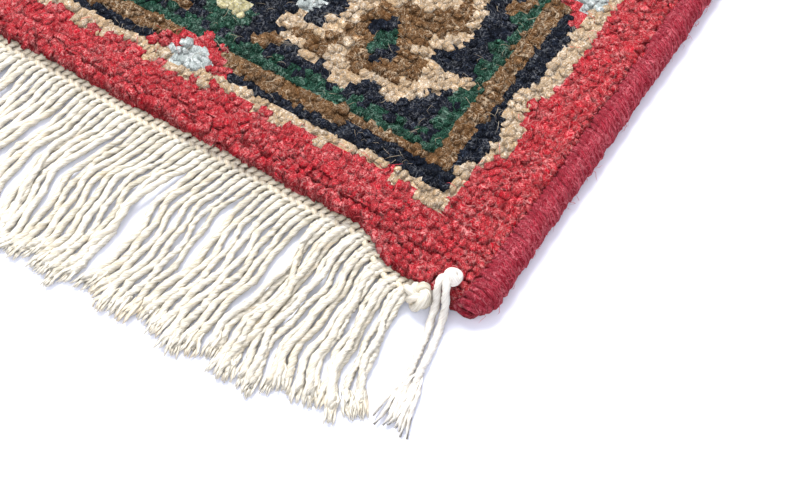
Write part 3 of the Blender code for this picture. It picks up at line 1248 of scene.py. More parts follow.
@dataclass
class KnottedCloth:
    """The knotted body: a woven cloth seen from below, and the pile that stands on it."""

    scatter: Scatter
    below_top: float = 0.00105
    inset: float = 0.0016
    side_inset: float = 0.0003
    end_drop: float = 0.0018
    end_drop_reach: float = 0.0042
    most_tufts: int = 9000

    def build(self) -> tuple[Object, list[Object]]:
        """Makes the cloth and its pile.

        Returns:
            The cloth, and the pieces of pile.
        """
        cloth = self.cloth()
        shapes = self.scatter.shapes("tuft", TUFTS.drafts())
        rim = KNOTS.rim()
        knots = {key: np.concatenate([values, rim[key]]) for key, values in KNOTS.table().items()}
        random = np.random.default_rng(23)
        knots["shape"] = random.integers(0, TUFTS.variants, len(knots["wool"]))
        pile = []
        for wool, finish in PILE_FINISHES.items():
            numbers = np.flatnonzero(knots["wool"] == wool.value)
            material = finish.build()
            parts = math.ceil(len(numbers) / self.most_tufts)
            for part, chosen in enumerate(np.array_split(numbers, parts)):
                places = {key: values[chosen] for key, values in knots.items() if key != "wool"}
                name = f"pile_{wool.name.lower()}" + (f"_{part + 1}" if parts > 1 else "")
                piece = self.scatter.run(name, places, shapes, material)
                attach(piece, BODY)
                pile.append(piece)
        self.scatter.clear(shapes)
        return cloth, pile

    def cloth(self) -> Object:
        """Makes the cloth as one closed slab, whose underside shows the backs of the knots.

        Returns:
            The cloth.
        """
        columns, rows = CHART.columns, CHART.rows
        wools = [[CHART.wool(column, row) for column in range(columns)] for row in range(rows)]
        breaks = [
            [c for c in range(columns + 1) if c in (0, columns) or line[c] is not line[c - 1]]
            for line in wools
        ]
        lines = [
            sorted({*breaks[max(row - 1, 0)], *breaks[min(row, rows - 1)], *self.stations(row)})
            for row in range(rows + 1)
        ]
        points: list[tuple[float, float, float]] = []
        numbers: dict[tuple[int, int], int] = {}
        for row, line in enumerate(lines):
            for column in line:
                numbers[(row, column)] = len(points)
                points.append(self.corner(row, column))
        count = len(points)
        points += [(x, y, self.cloth_top(x, y)) for x, y, _ in points]
        order = list(PILE_FINISHES)
        faces, letters = [], []
        for row in range(rows):
            for first, last in zip(breaks[row], breaks[row][1:]):
                near = [numbers[(row, c)] for c in lines[row] if first <= c <= last]
                far = [numbers[(row + 1, c)] for c in lines[row + 1] if first <= c <= last]
                outline = near + far[::-1]
                faces.append(outline)
                faces.append([number + count for number in reversed(outline)])
                wool = order.index(wools[row][first])
                letters += [wool, wool + len(order)]
        edge = [numbers[(0, c)] for c in lines[0]]
        edge += [numbers[(r, columns)] for r in range(1, rows)]
        edge += [numbers[(rows, c)] for c in reversed(lines[rows])]
        edge += [numbers[(r, 0)] for r in range(rows - 1, 0, -1)]
        for before, after in zip(edge, edge[1:] + edge[:1]):
            faces.append([after, before, before + count, after + count])
            letters.append(len(order))
        mesh = bpy.data.meshes.new("knotted_cloth")
        mesh.from_pydata(points, [], faces)
        for finish in PILE_FINISHES.values():
            mesh.materials.append(ClothBack(finish).build())
        for finish in PILE_FINISHES.values():
            rooted = replace(finish, name=f"{finish.name}_roots", root=None)
            mesh.materials.append(rooted.build())
        mesh.polygons.foreach_set("material_index", letters)
        write_attribute(mesh, "grain", np.array(points) / MM)
        mesh.update()
        cloth = add_object("knotted_cloth", mesh)
        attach(cloth, BODY)
        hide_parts("knotted_pile")
        LOG.info("knotted_cloth: %d faces", len(faces))
        return cloth

    def cloth_top(self, across: float, along: float) -> float:
        """Gives the height of the cloth's top, which falls off under the tufts at the ends.

        Args:
            across: The place across the rug.
            along: The place along it.

        Returns:
            The height.
        """
        to_end = float(RUG.end_line(-across * math.copysign(1.0, along))) - abs(along)
        fall = 1.0 - float(smooth_step(to_end, self.inset, self.end_drop_reach))
        return float(RUG.top(across, along)) - self.below_top - self.end_drop * fall

    @staticmethod
    def stations(row: int) -> set[int]:
        """Lists the columns at which a line between rows needs points, to follow the rug's outline.

        Args:
            row: The line's number.

        Returns:
            Column numbers.
        """
        columns, rows = CHART.columns, CHART.rows
        if row in (0, rows):
            return {*range(0, columns, 2), columns}
        if min(row, rows - row) <= 13:
            return {*range(0, 15), *range(columns - 14, columns + 1)}
        return set()

    def corner(self, row: int, column: int) -> tuple[float, float, float]:
        """Gives one corner of the cloth's grid, on the floor.

        Args:
            row: The line between two rows, from 0 to the number of rows.
            column: The line between two columns.

        Returns:
            The point.
        """
        across, along = KNOTS.place(column - 0.5, row - 0.5)
        edge = RUG.width / 2 - self.side_inset
        across = float(np.clip(across, -edge, edge))
        if row in (0, CHART.rows):
            side = -1.0 if row == 0 else 1.0
            along = side * (float(RUG.end_line(-across * side)) - self.inset)
        return across, float(along), 0.0


@dataclass(frozen=True)
class ClothBack:
    """The rug's underside: flat knot backs in the pile's colours, parted by lines of cotton weft."""

    finish: FibreFinish
    weft_colour: str = "#CFC4AC"
    warp_pitch: float = 0.0015
    weft_pitch: float = 0.0030
    relief: float = 0.0005

    def build(self) -> Material:
        """Makes the material.

        Returns:
            The material.
        """
        material = bpy.data.materials.new(self.finish.name.replace("pile", "knot_back"))
        material.use_nodes = True
        tree = material.node_tree
        where = add_node(tree, "ShaderNodeTexCoord").outputs["Object"]
        parts = add_node(tree, "ShaderNodeSeparateXYZ", None, {0: where}).outputs
        ribs = []
        for axis, pitch in (("X", self.warp_pitch), ("Y", self.weft_pitch)):
            angle = add_node(tree, MATH, TIMES, {0: parts[axis], 1: math.pi / pitch}).outputs[0]
            wave = add_node(tree, MATH, {"operation": "SINE"}, {0: angle}).outputs[0]
            ribs.append(add_node(tree, MATH, WITHOUT_SIGN, {0: wave}).outputs[0])
        height = add_node(tree, MATH, TIMES, dict(enumerate(ribs))).outputs[0]
        noise = {"Vector": where, "Scale": 2600.0, "Detail": 2.0}
        fibres = add_node(tree, NOISE, None, noise).outputs["Fac"]
        ramp = add_node(tree, "ShaderNodeValToRGB", None, {"Fac": fibres})
        stops = ramp.color_ramp.elements
        stops[0].position = 0.3
        stops[0].color = linear(self.finish.deep)
        stops[1].position = 0.7
        stops[1].color = linear(self.finish.base)
        ends = {"Value": ribs[1], "From Min": 0.05, "From Max": 0.30, "To Min": 0.8, "To Max": 0.0}
        weft = add_node(tree, MAP_RANGE, None, ends).outputs[0]
        colour = FibreFinish.mixed(tree, weft, ramp.outputs["Color"], linear(self.weft_colour))
        raised = {"Strength": 0.9, "Distance": self.relief, "Height": height}
        bump = add_node(tree, "ShaderNodeBump", None, raised).outputs[0]
        shader = tree.nodes["Principled BSDF"]
        tree.links.new(colour, shader.inputs["Base Color"])
        tree.links.new(bump, shader.inputs["Normal"])
        shader.inputs["Roughness"].default_value = 0.9
        shader.inputs["Specular IOR Level"].default_value = 0.2
        return material


@dataclass
class Selvedge:
    """The overcast roll along one long side: a bundle of warps, wrapped turn by turn in wool."""

    scatter: Scatter
    side: float
    name: str
    width: float = 0.0088
    height: float = 0.0086
    overhang: float = 0.0088
    bend: float = 0.0024
    nestled: float = 0.0007
    bend_reach: float = 0.007
    lump: float = 0.025
    lump_length: float = 0.047
    turn_pitch: float = 0.00165
    turn_slant: float = 0.42
    yarn: float = 0.00078
    flat: float = 1.55
    variants: int = 5
    core_share: float = 0.90
    core_short: float = 0.0005
    turns_short: float = 0.0011
    hairs: int = 2000
    hair_tilt: float = 0.45
    hair_root: float = 0.94

    def build(self, shapes: Collection, finish: Material) -> list[Object]:
        """Makes the roll's core and its wrapping.

        Args:
            shapes: The variants of one turn of the wrapping.
            finish: The wool's material.

        Returns:
            The pieces.
        """
        core = self.core(finish)
        turns = self.turns(shapes, finish)
        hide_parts(self.name)
        for piece in (core, turns):
            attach(piece, BODY)
        return [core, turns]

    def middle(self, along: np.ndarray) -> np.ndarray:
        """Gives the roll's middle line across the rug.

        Args:
            along: Places along the rug.

        Returns:
            Places across it.
        """
        reach = RUG.length / 2 + self.overhang
        bend = self.bend * smooth_step(np.abs(along), reach - self.bend_reach, reach)
        return self.side * (RUG.width / 2 + RUG.gap + self.width / 2 - bend - self.nestled)

    def share(self, along: np.ndarray) -> np.ndarray:
        """Gives the section's size as a share of the full one.

        Args:
            along: Places along the rug.

        Returns:
            Shares, smaller at the blunt tips.
        """
        reach = RUG.length / 2 + self.overhang
        lump = 1.0 - self.lump * (1.0 + np.sin(2.0 * math.pi * along / self.lump_length))
        tip = np.interp(reach - np.abs(along), (0.0, 0.001, 0.003, 0.006), (0.56, 0.82, 0.95, 1.0))
        return lump * tip

    def rise(self, share: np.ndarray) -> np.ndarray:
        """Gives the height of the roll's middle line, which stays up at the blunt tips."""
        return self.height / 2 * (0.45 + 0.55 * share)

    def core(self, finish: Material) -> Object:
        """Makes the roll under the wrapping.

        Args:
            finish: The wool's material.

        Returns:
            The core.
        """
        reach = RUG.length / 2 + self.overhang - self.core_short
        tips = np.array([0.0, 0.0003, 0.0009, 0.0018, 0.0032])
        between = np.linspace(0.006 - reach, reach - 0.006, 130)
        along = np.concatenate([tips - reach, between, reach - tips[::-1]])
        rounding = np.interp(reach - np.abs(along), tips, (0.25, 0.55, 0.82, 0.95, 1.0))
        share = self.share(along) * rounding
        path = np.stack([self.middle(along), along, self.rise(self.share(along))], axis=1)
        draft = MeshDraft()
        draft.add(*sweep(path, self.width / 2 * share * self.core_share, 14, 0.95), 0.3)
        return draft.piece(f"{self.name}_core", finish)

    def turns(self, shapes: Collection, finish: Material) -> Object:
        """Sets the turns of the wrapping along the roll.

        Args:
            shapes: The variants of one turn.
            finish: The wool's material.

        Returns:
            The wrapping.
        """
        random = np.random.default_rng(41 if self.side > 0.0 else 43)
        reach = RUG.length / 2 + self.overhang - self.turns_short
        count = int(2.0 * reach / self.turn_pitch)
        along = np.linspace(-reach, reach, count) + random.normal(0.0, 0.00012, count)
        share = self.share(along)
        upright = np.zeros((count, 3))
        level = smooth_step(reach - np.abs(along), 0.0, 0.014)
        upright[:, 0] = self.side * (self.turn_slant * level + random.normal(0.0, 0.07, count))
        upright[:, 1] = 1.0
        return self.scatter.run(
            f"{self.name}_wrapping",
            {
                "place": np.stack([self.middle(along), along, self.rise(share)], axis=1),
                "turn": self.yaws(upright),
                "stretch": np.stack([share, random.uniform(0.85, 1.2, count), share], axis=1),
                "tone": random.uniform(0.0, 1.0, count),
                "shape": random.integers(0, self.variants, count),
            },
            shapes,
            finish,
            0.02,
        )

    @staticmethod
    def yaws(direction: np.ndarray) -> np.ndarray:
        """Gives turns about Z that bring +Y to each direction.

        Args:
            direction: Level directions.

        Returns:
            XYZ Euler angles.
        """
        turns = np.zeros_like(direction)
        turns[:, 2] = np.arctan2(-direction[:, 0], direction[:, 1])
        return turns

    def turn_shapes(self) -> list[MeshDraft]:
        """Makes variants of one turn: a loop of yarn round the roll, flat on the floor.

        Returns:
            One draft for each.
        """
        made = []
        random = np.random.default_rng(17)
        angles = np.linspace(0.0, 2.0 * math.pi, 13)[:-1]
        slant = 1.0 / math.cos(self.turn_slant)
        for _ in range(self.variants):
            wobble = random.normal(0.0, 0.00013, (3, len(angles)))
            out = (self.width / 2 - self.yarn * 0.55) * slant * np.sin(angles)
            rise = np.maximum(
                (self.height / 2 - self.yarn * 0.45) * np.cos(angles), 0.8 * self.yarn - self.height / 2
            )
            path = np.stack([out, np.zeros(len(angles)), rise], axis=1) + wobble.T
            radii = self.yarn * random.uniform(0.9, 1.12, len(angles))
            draft = MeshDraft()
            draft.add(*sweep(path, radii, 4, self.flat, 0.0, True), 0.0)
            made.append(draft)
        return made

    def hair_places(self) -> dict[str, np.ndarray]:
        """Lists where loose hairs leave the roll.

        Returns:
            Arrays of the hairs' place, turn, stretch, tone and shape.
        """
        random = np.random.default_rng(51 if self.side > 0.0 else 53)
        reach = RUG.length / 2 + self.overhang - 0.001
        along = random.uniform(-reach, reach, self.hairs)
        share = self.share(along)
        angle = random.uniform(-0.5 * math.pi, 0.5 * math.pi, self.hairs)
        out, rise = np.sin(angle), np.cos(angle)
        across = self.middle(along) + out * self.width / 2 * share * self.hair_root
        level = np.maximum(self.height / 2 * share * (1.0 + self.hair_root * rise), 0.0006)
        place = np.stack([across, along, level], axis=1)
        upright = np.stack([out, random.normal(0.0, 0.35, self.hairs), rise], axis=1)
        upright[:, 0::2] += random.normal(0.0, self.hair_tilt, (self.hairs, 2))
        return HAIRS.on_places(place, upright, (0.60, 1.25), random)


@dataclass(frozen=True)
class HairShapes:
    """Variants of one loose curled wool hair that lies on the pile and rises from it a little."""

    variants: int = 24
    length: float = 0.0058
    radius: float = 0.000058
    steps: int = 4
    arch: float = 0.0010
    curl: float = 0.75
    curl_change: float = 0.30
    seed: int = 31

    def drafts(self) -> list[MeshDraft]:
        """Makes the variants.

        Returns:
            One draft for each.
        """
        random = np.random.default_rng(self.seed)
        made = []
        for _ in range(self.variants):
            length = self.length * random.uniform(0.6, 1.4)
            heading = random.uniform(0.0, 2.0 * math.pi)
            curl = random.normal(0.0, self.curl)
            point = np.array([0.0, 0.0, -0.0004])
            path = [point]
            for step in range(1, self.steps):
                curl += random.normal(0.0, self.curl_change)
                heading += curl
                reach = length / self.steps
                point = point + np.array([math.cos(heading), math.sin(heading), 0.0]) * reach
                arch = self.arch * math.sin(math.pi * step / (self.steps - 1))
                point[2] = arch * random.uniform(0.4, 1.2)
                path.append(point)
            draft = MeshDraft()
            draft.add(*self.pointed(np.array(path)), 0.0)
            made.append(draft)
        return made

    def pointed(self, path: np.ndarray) -> tuple[np.ndarray, list, np.ndarray]:
        """Runs a three-sided hair along a path, with a point at each end.

        Args:
            path: The path's points.

        Returns:
            Points, faces and grain of the closed hair.
        """
        points, tube, grain = sweep(path, np.full(len(path), self.radius), 3)
        last = len(path) - 3
        faces = [tuple(n - 2 for n in face) for face in tube[3 : 3 * last + 3]]
        tip = 1 + 3 * (last + 1)
        for side in range(3):
            after = (side + 1) % 3
            faces.append((0, 1 + after, 1 + side))
            faces.append((tip, tip - 3 + side, tip - 3 + after))
        kept = [path[0], *points[3:-3], path[-1]]
        return np.array(kept), faces, np.array([grain[0], *grain[3:-3], grain[-1]])

    def on_places(
        self,
        place: np.ndarray,
        upright: np.ndarray,
        sizes: tuple[float, float],
        random: np.random.Generator,
    ) -> dict[str, np.ndarray]:
        """Gives each hair that is set on a place its turn, size, tone and variant.

        Args:
            place: Where the hairs are.
            upright: Where each hair's Z axis points.
            sizes: The least and the greatest size, as shares of the full one.
            random: The source of their unevenness.

        Returns:
            Arrays of the hairs' place, turn, stretch, tone and shape.
        """
        count = len(place)
        size = random.uniform(*sizes, count)
        return {
            "place": place,
            "turn": tilted_turns(upright, random.uniform(0.0, 2.0 * math.pi, count)),
            "stretch": np.stack([size, size, size], axis=1),
            "tone": random.uniform(0.0, 1.0, count),
            "shape": random.integers(0, self.variants, count),
        }


HAIRS = HairShapes()


@dataclass
class LooseFibres:
    """Single curled hairs that have worked loose from the wool."""

    scatter: Scatter
    on_pattern: int = 5000
    on_red: int = 3400
    edge_reach: float = 0.024
    field_every: int = 6

    def build(self, selvedges: Sequence[Selvedge]) -> list[Object]:
        """Makes the hairs of the pile and of the selvedges.

        Args:
            selvedges: The rolls that carry hairs.

        Returns:
            The pieces.
        """
        shapes = self.scatter.shapes("hair", HAIRS.drafts())
        pieces = []
        knots = KNOTS.table()
        on_red = knots["wool"] == Wool.RED.value
        # Most of the red wool's hairs are worked loose along the rug's edges.
        across, along = np.abs(knots["place"][:, 0]), np.abs(knots["place"][:, 1])
        to_edge = np.minimum(RUG.width / 2 - across, RUG.length / 2 - along)
        field_kept = (np.arange(len(across)) % self.field_every) == 0
        on_red_edge = on_red & ((to_edge < self.edge_reach) | field_kept)
        for name, count, chosen, finish, seed in (
            ("loose_hairs_on_pattern", self.on_pattern, ~on_red, LIGHT_HAIR, 61),
            ("loose_hairs_on_red", self.on_red, on_red_edge, RED_HAIR, 67),
        ):
            places = self.places(count, knots["place"][chosen], seed)
            piece = self.scatter.run(name, places, shapes, finish.build())
            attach(piece, BODY)
            pieces.append(piece)
        material = SELVEDGE_HAIR.build()
        for selvedge in selvedges:
            name = f"{selvedge.name}_hairs"
            piece = self.scatter.run(name, selvedge.hair_places(), shapes, material)
            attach(piece, BODY)
            pieces.append(piece)
        self.scatter.clear(shapes)
        return pieces

    @staticmethod
    def places(count: int, feet: np.ndarray, seed: int) -> dict[str, np.ndarray]:
        """Lists where hairs lie on the pile.

        Args:
            count: How many there are.
            feet: Places of the knots that they may start from.
            seed: The seed of the choice.

        Returns:
            Arrays of the hairs' place, turn, stretch, tone and shape.
        """
        random = np.random.default_rng(seed)
        chosen = feet[random.integers(0, len(feet), count)] + random.normal(0.0, 0.001, (count, 3))
        across, along = chosen[:, 0], chosen[:, 1]
        top = RUG.top(across, along) - 0.0002
        upright = np.stack(
            [random.normal(0.0, 0.15, count), random.normal(0.0, 0.15, count), np.ones(count)], axis=1
        )
        return HAIRS.on_places(np.stack([across, along, top], axis=1), upright, (0.7, 1.3), random)


@dataclass
class FringedEnd:
    """One end's cotton: the plaited band and the warp ends that hang from it as fringe."""

    scatter: Scatter
    name: str
    back: bool
    band_width: float = 0.0042
    band_height: float = 0.0042
    strands: int = 148
    radius: float = 0.00117
    first: float = -0.187
    last: float = 0.1745
    fringe_length: float = 0.0505
    unevenness: float = 0.0035
    corner_lean: float = 0.0128
    bend: float = 0.0072
    bend_reach: float = 0.0115
    opened: float = 0.20
    corner_lean_reach: float = 0.030
    wave: float = 0.0013
    wave_length: float = 0.041
    kink: float = 0.00048
    kink_length: float = 0.015
    over_lift: float = 0.0014
    crossing_lift: float = 0.0015
    parting: float = 0.0012
    weak_parting: float = 0.0009
    parting_reach: float = 0.0046
    # Places across the rug where neighbouring strands part and show the floor.
    partings: tuple[float, ...] = (
        -0.171, -0.149, -0.133, -0.108, -0.089, -0.066, -0.044, -0.029, -0.004, 0.017, 0.037,
        0.061, 0.079, 0.1015, 0.1225, 0.1420, 0.1545,
    )
    weak_from: float = 0.150
    extra_strands: int = 7
    short_from: float = 0.150
    shortened: float = 0.0105
    # Strands that lie across their neighbours, and how far their tips are moved.
    crossings: tuple[tuple[int, float], ...] = (
        (9, 0.0060), (24, -0.0052), (38, 0.0048), (52, 0.0066), (67, -0.0046), (80, 0.0058),
        (93, -0.0060), (104, 0.0050), (118, -0.0044), (134, 0.0085),
    )
    frayed_yarns: int = 5
    frayed_width: float = 0.0021
    frayed_radii: tuple[float, ...] = (0.00040, 0.00062, 0.00068, 0.00060, 0.00018)

    def band_front(self, across: float) -> float:
        """Gives the place of the band's outer edge along the rug."""
        return -(float(RUG.end_line(across)) + RUG.gap + self.band_width)

    def build(self, shapes: Collection, finishes: tuple[Material, Material, Material]) -> list[Object]:
        """Makes the band's stitches and the fringe.

        Args:
            shapes: The variants of one stitch.
            finishes: The materials of the strands, of their frayed ends and of the plait.

        Returns:
            The pieces.
        """
        fringe, frayed = self.fringe(finishes[0], finishes[1])
        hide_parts(self.name)
        band = self.band(shapes, finishes[2])
        for piece in (fringe, frayed, band):
            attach(piece, BODY)
        return [fringe, frayed, band]

    def fringe(self, finish: Material, frayed_finish: Material) -> tuple[Object, Object]:
        """Makes all strands of the fringe.

        Args:
            finish: The cotton's material.
            frayed_finish: The material of its frayed ends.

        Returns:
            The strands, and the yarns that their ends open into.
        """
        random = np.random.default_rng(71 if self.back else 73)
        draft, frayed = MeshDraft(), MeshDraft()
        # Some of the last numbers come again, half a step on, as strands that lie over the others.
        extra = np.linspace(self.strands - 13.5, self.strands - 1.5, self.extra_strands)
        for place, number in enumerate([*range(self.strands), *extra]):
            tone = random.uniform(0.0, 1.0)
            path = self.route(float(number), random)
            if place >= self.strands:
                over = np.sin(math.pi * np.linspace(0.0, 1.0, len(path))) ** 0.5
                path[:, 2] += self.over_lift * over
                path[:, 0] += random.uniform(-0.0005, 0.0020) * np.linspace(0.0, 1.0, len(path))
            radii = np.full(len(path), self.radius) * random.uniform(0.92, 1.08)
            radii *= 1.0 + self.opened * smooth_step(np.linspace(0.0, 1.0, len(path)), 0.5, 0.9)
            radii[-3:] *= (1.02, 1.0, 0.70)
            twist = random.uniform(95.0, 125.0)
            draft.add(*sweep(at_end(path, self.back), radii, 6, 0.78, twist), tone)
            self.fray(frayed, path, random, tone)
        LOG.info("%s: %d strands, %d faces", self.name, self.strands, len(draft.faces))
        strands = draft.piece(f"{self.name}_strands", finish)
        return strands, frayed.piece(f"{self.name}_frayed_ends", frayed_finish)

    def route(self, number: float, random: np.random.Generator) -> np.ndarray:
        """Plans the path of one strand, from inside the plait to its tip on the floor.

        Args:
            number: The strand's number, from the end without a knot.
            random: The source of its unevenness.

        Returns:
            The path at the front end.
        """
        share = number / (self.strands - 1)
        root = self.first + (self.last - self.first) * share
        uneven = 0.6 * math.sin(number * 0.83) + 0.4 * math.sin(number * 2.17 + 1.0)
        length = self.fringe_length + self.unevenness * uneven - RUG.flare_reach * float(RUG.flare(root))
        near_end = (root - self.short_from) / (self.last - self.short_from)
        length -= self.shortened * max(near_end, 0.0) ** 2
        reach = np.concatenate(
            [np.array([-0.0034, -0.0020, -0.0006, 0.0008, 0.0024, 0.0042, 0.0065]),
             np.linspace(0.0095, length, 17)]
        )
        along = np.clip(reach / length, 0.0, 1.0)
        near_knot = float(smooth_step(root, self.last - self.corner_lean_reach, self.last))
        phase = 2.0 * math.pi * (reach / self.wave_length + 3.0 * share)
        waves = np.sin(phase) - math.sin(6.0 * math.pi * share)
        sway = self.wave * waves * np.minimum(1.0, 3.0 * along)
        kink = random.uniform(0.0, 2.0 * math.pi)
        kinks = self.kink * np.sin(2.0 * math.pi * reach / self.kink_length + kink)
        sway = sway + kinks * np.minimum(1.0, 4.0 * along)
        lean = self.corner_lean * near_knot * along**1.5
        # The strand leaves the plait sideways and bends down to its own direction.
        arc = self.bend * np.exp(-np.maximum(reach + 0.003, 0.0) / self.bend_reach)
        across = root + sway + lean + arc - 0.0036
        across = across + self.parted(root) * np.sin(math.pi * np.clip(along * 1.15, 0.0, 1.0))
        moved = dict(self.crossings).get(number, 0.0)
        across = across + moved * smooth_step(along, 0.02, 0.75)
        down = smooth_step(reach, 0.0002, 0.0085)
        lift = self.radius + random.uniform(0.0, 0.0007) * np.sin(math.pi * along) ** 2
        if moved:
            lift = lift + self.crossing_lift * np.sin(math.pi * np.clip(along * 1.1, 0.0, 1.0))
        height = (self.band_height - 0.0009) * (1.0 - down) + lift * down
        height[:2] = (0.0022, 0.0030)
        return np.stack([across, self.band_front(root) - reach, height], axis=1)

    def parted(self, root: float) -> float:
        """Gives how far a strand is drawn aside by the partings near it.

        Args:
            root: Where the strand starts across the rug.

        Returns:
            The greatest shift.
        """
        shift = 0.0
        for middle in self.partings:
            away = root - middle
            most = self.parting if middle < self.weak_from else self.weak_parting
            shift += math.copysign(most, away) * math.exp(-abs(away) / self.parting_reach)
        return shift

    def fray(
        self, draft: MeshDraft, path: np.ndarray, random: np.random.Generator, tone: float
    ) -> None:
        """Adds the thin yarns that a strand's end opens into.

        Args:
            draft: The fringe.
            path: The strand's path.
            random: The source of unevenness.
            tone: The strand's random number.
        """
        start = path[-3]
        ahead = path[-1] - path[-3]
        ahead /= np.linalg.norm(ahead)
        sideways = np.array([-ahead[1], ahead[0], 0.0])
        steps = np.linspace(0.0, 1.0, len(self.frayed_radii))[:, None]
        for number in range(self.frayed_yarns):
            length = random.uniform(0.0070, 0.0086)
            off_middle = number / (self.frayed_yarns - 1) - 0.5
            aside = off_middle * self.frayed_width + random.normal(0.0, 0.0001)
            spread = 1.35 * aside + random.normal(0.0, 0.0003)
            bend = random.normal(0.0, 0.0003)
            yarn = start + ahead * length * steps + sideways * (aside + (spread - aside) * steps**1.4)
            yarn = yarn + sideways * bend * np.sin(math.pi * 2.0 * steps)
            yarn[:, 2] = np.maximum(yarn[:, 2] + random.uniform(-0.0003, 0.0006), 0.0005)
            radii = np.array(self.frayed_radii) * random.uniform(0.85, 1.1)
            swept = sweep(at_end(yarn, self.back), radii, 3, 1.0, 40.0)
            draft.add(*swept, min(1.0, tone * 0.5 + 0.4))

    def band(self, shapes: Collection, finish: Material) -> Object:
        """Sets the plait's stitches along the band, in two rows that slant against each other.

        Args:
            shapes: The variants of one stitch.
            finish: The cotton's material.

        Returns:
            The band.
        """
        random = np.random.default_rng(83 if self.back else 89)
        count = self.strands + 2
        across = np.linspace(self.first - 0.0015, self.last + 0.0035, count)
        slope = (RUG.end_line(across + 0.0005) - RUG.end_line(across - 0.0005)) / 0.001
        rows = []
        for depth, height, slant in ((0.0008, 0.0037, 0.70), (0.0026, 0.0034, -0.80)):
            along = -(RUG.end_line(across) + RUG.gap + depth)
            place = np.stack([across, along, np.full(count, height)], axis=1)
            place[:, :2] += random.normal(0.0, 0.00012, (count, 2))
            turn = np.zeros((count, 3))
            turn[:, 2] = -np.arctan(slope) + slant + random.normal(0.0, 0.08, count)
            rows.append((place, turn))
        place = np.concatenate([row[0] for row in rows])
        turn = np.concatenate([row[1] for row in rows])
        place = at_end(place, self.back)
        if self.back:
            turn[:, 2] += math.pi
        total = len(place)
        return self.scatter.run(
            f"{self.name}_plait",
            {
                "place": place,
                "turn": turn,
                "stretch": np.ones((total, 3)),
                "tone": random.uniform(0.0, 1.0, total),
                "shape": random.integers(0, 6, total),
            },
            shapes,
            finish,
            0.06,
        )

    @staticmethod
    def stitch_shapes() -> list[MeshDraft]:
        """Makes variants of one stitch of the plait: a short arched pad of yarn.

        Returns:
            One draft for each.
        """
        made = []
        random = np.random.default_rng(97)
        for _ in range(6):
            places = np.linspace(-1.0, 1.0, 5)
            path = np.stack(
                [
                    0.0021 * places,
                    0.0003 * np.sin(places * 2.0 + random.uniform(-0.4, 0.4)),
                    -0.0017 * places**2 + random.normal(0.0, 0.0001, 5),
                ],
                axis=1,
            )
            radii = 0.00100 * np.array([0.75, 1.0, 1.06, 1.0, 0.75])
            draft = MeshDraft()
            draft.add(*sweep(path, radii, 6, 0.85, 90.0), 0.0)
            made.append(draft)
        return made


@dataclass
class PlaitKnot:
    """The knot that ends a plait: a few tight loops of cotton."""

    name: str
    back: bool
    centre: tuple[float, float, float] = (0.1797, -0.3132, 0.0040)
    size: tuple[float, float, float] = (0.0088, 0.0078, 0.0072)
    yarn: float = 0.00125

    def build(self, finish: Material) -> Object:
        """Makes the knot.

        Args:
            finish: The cotton's material.

        Returns:
            The knot.
        """
        draft = MeshDraft()
        steps = np.linspace(0.0, 2.0 * math.pi, 73)[:-1]
        centre = np.array(self.centre)
        half = np.array(self.size) / 2 - self.yarn
        loops = np.stack(
            [
                (np.sin(steps) + 2.0 * np.sin(2.0 * steps)) / 2.7,
                (np.cos(steps) - 2.0 * np.cos(2.0 * steps)) / 2.7,
                -np.sin(3.0 * steps),
            ],
            axis=1,
        )
        for turn, scale, tone in ((0.4, 1.0, 0.4), (1.5, 0.78, 0.7)):
            cosine, sine = math.cos(turn), math.sin(turn)
            turned = loops @ np.array([[cosine, sine, 0.0], [-sine, cosine, 0.0], [0.0, 0.0, 1.0]])
            path = centre + turned * half * scale
            path[:, 2] = np.maximum(path[:, 2], self.yarn)
            swept = sweep(at_end(path, self.back), np.full(len(path), self.yarn), 8, 0.88, 0.0, True)
            draft.add(*swept, tone)
        piece = draft.piece(f"{self.name}_loops", finish)
        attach(piece, BODY)
        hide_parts(self.name)
        LOG.info("%s: %d faces", self.name, len(draft.faces))
        return piece


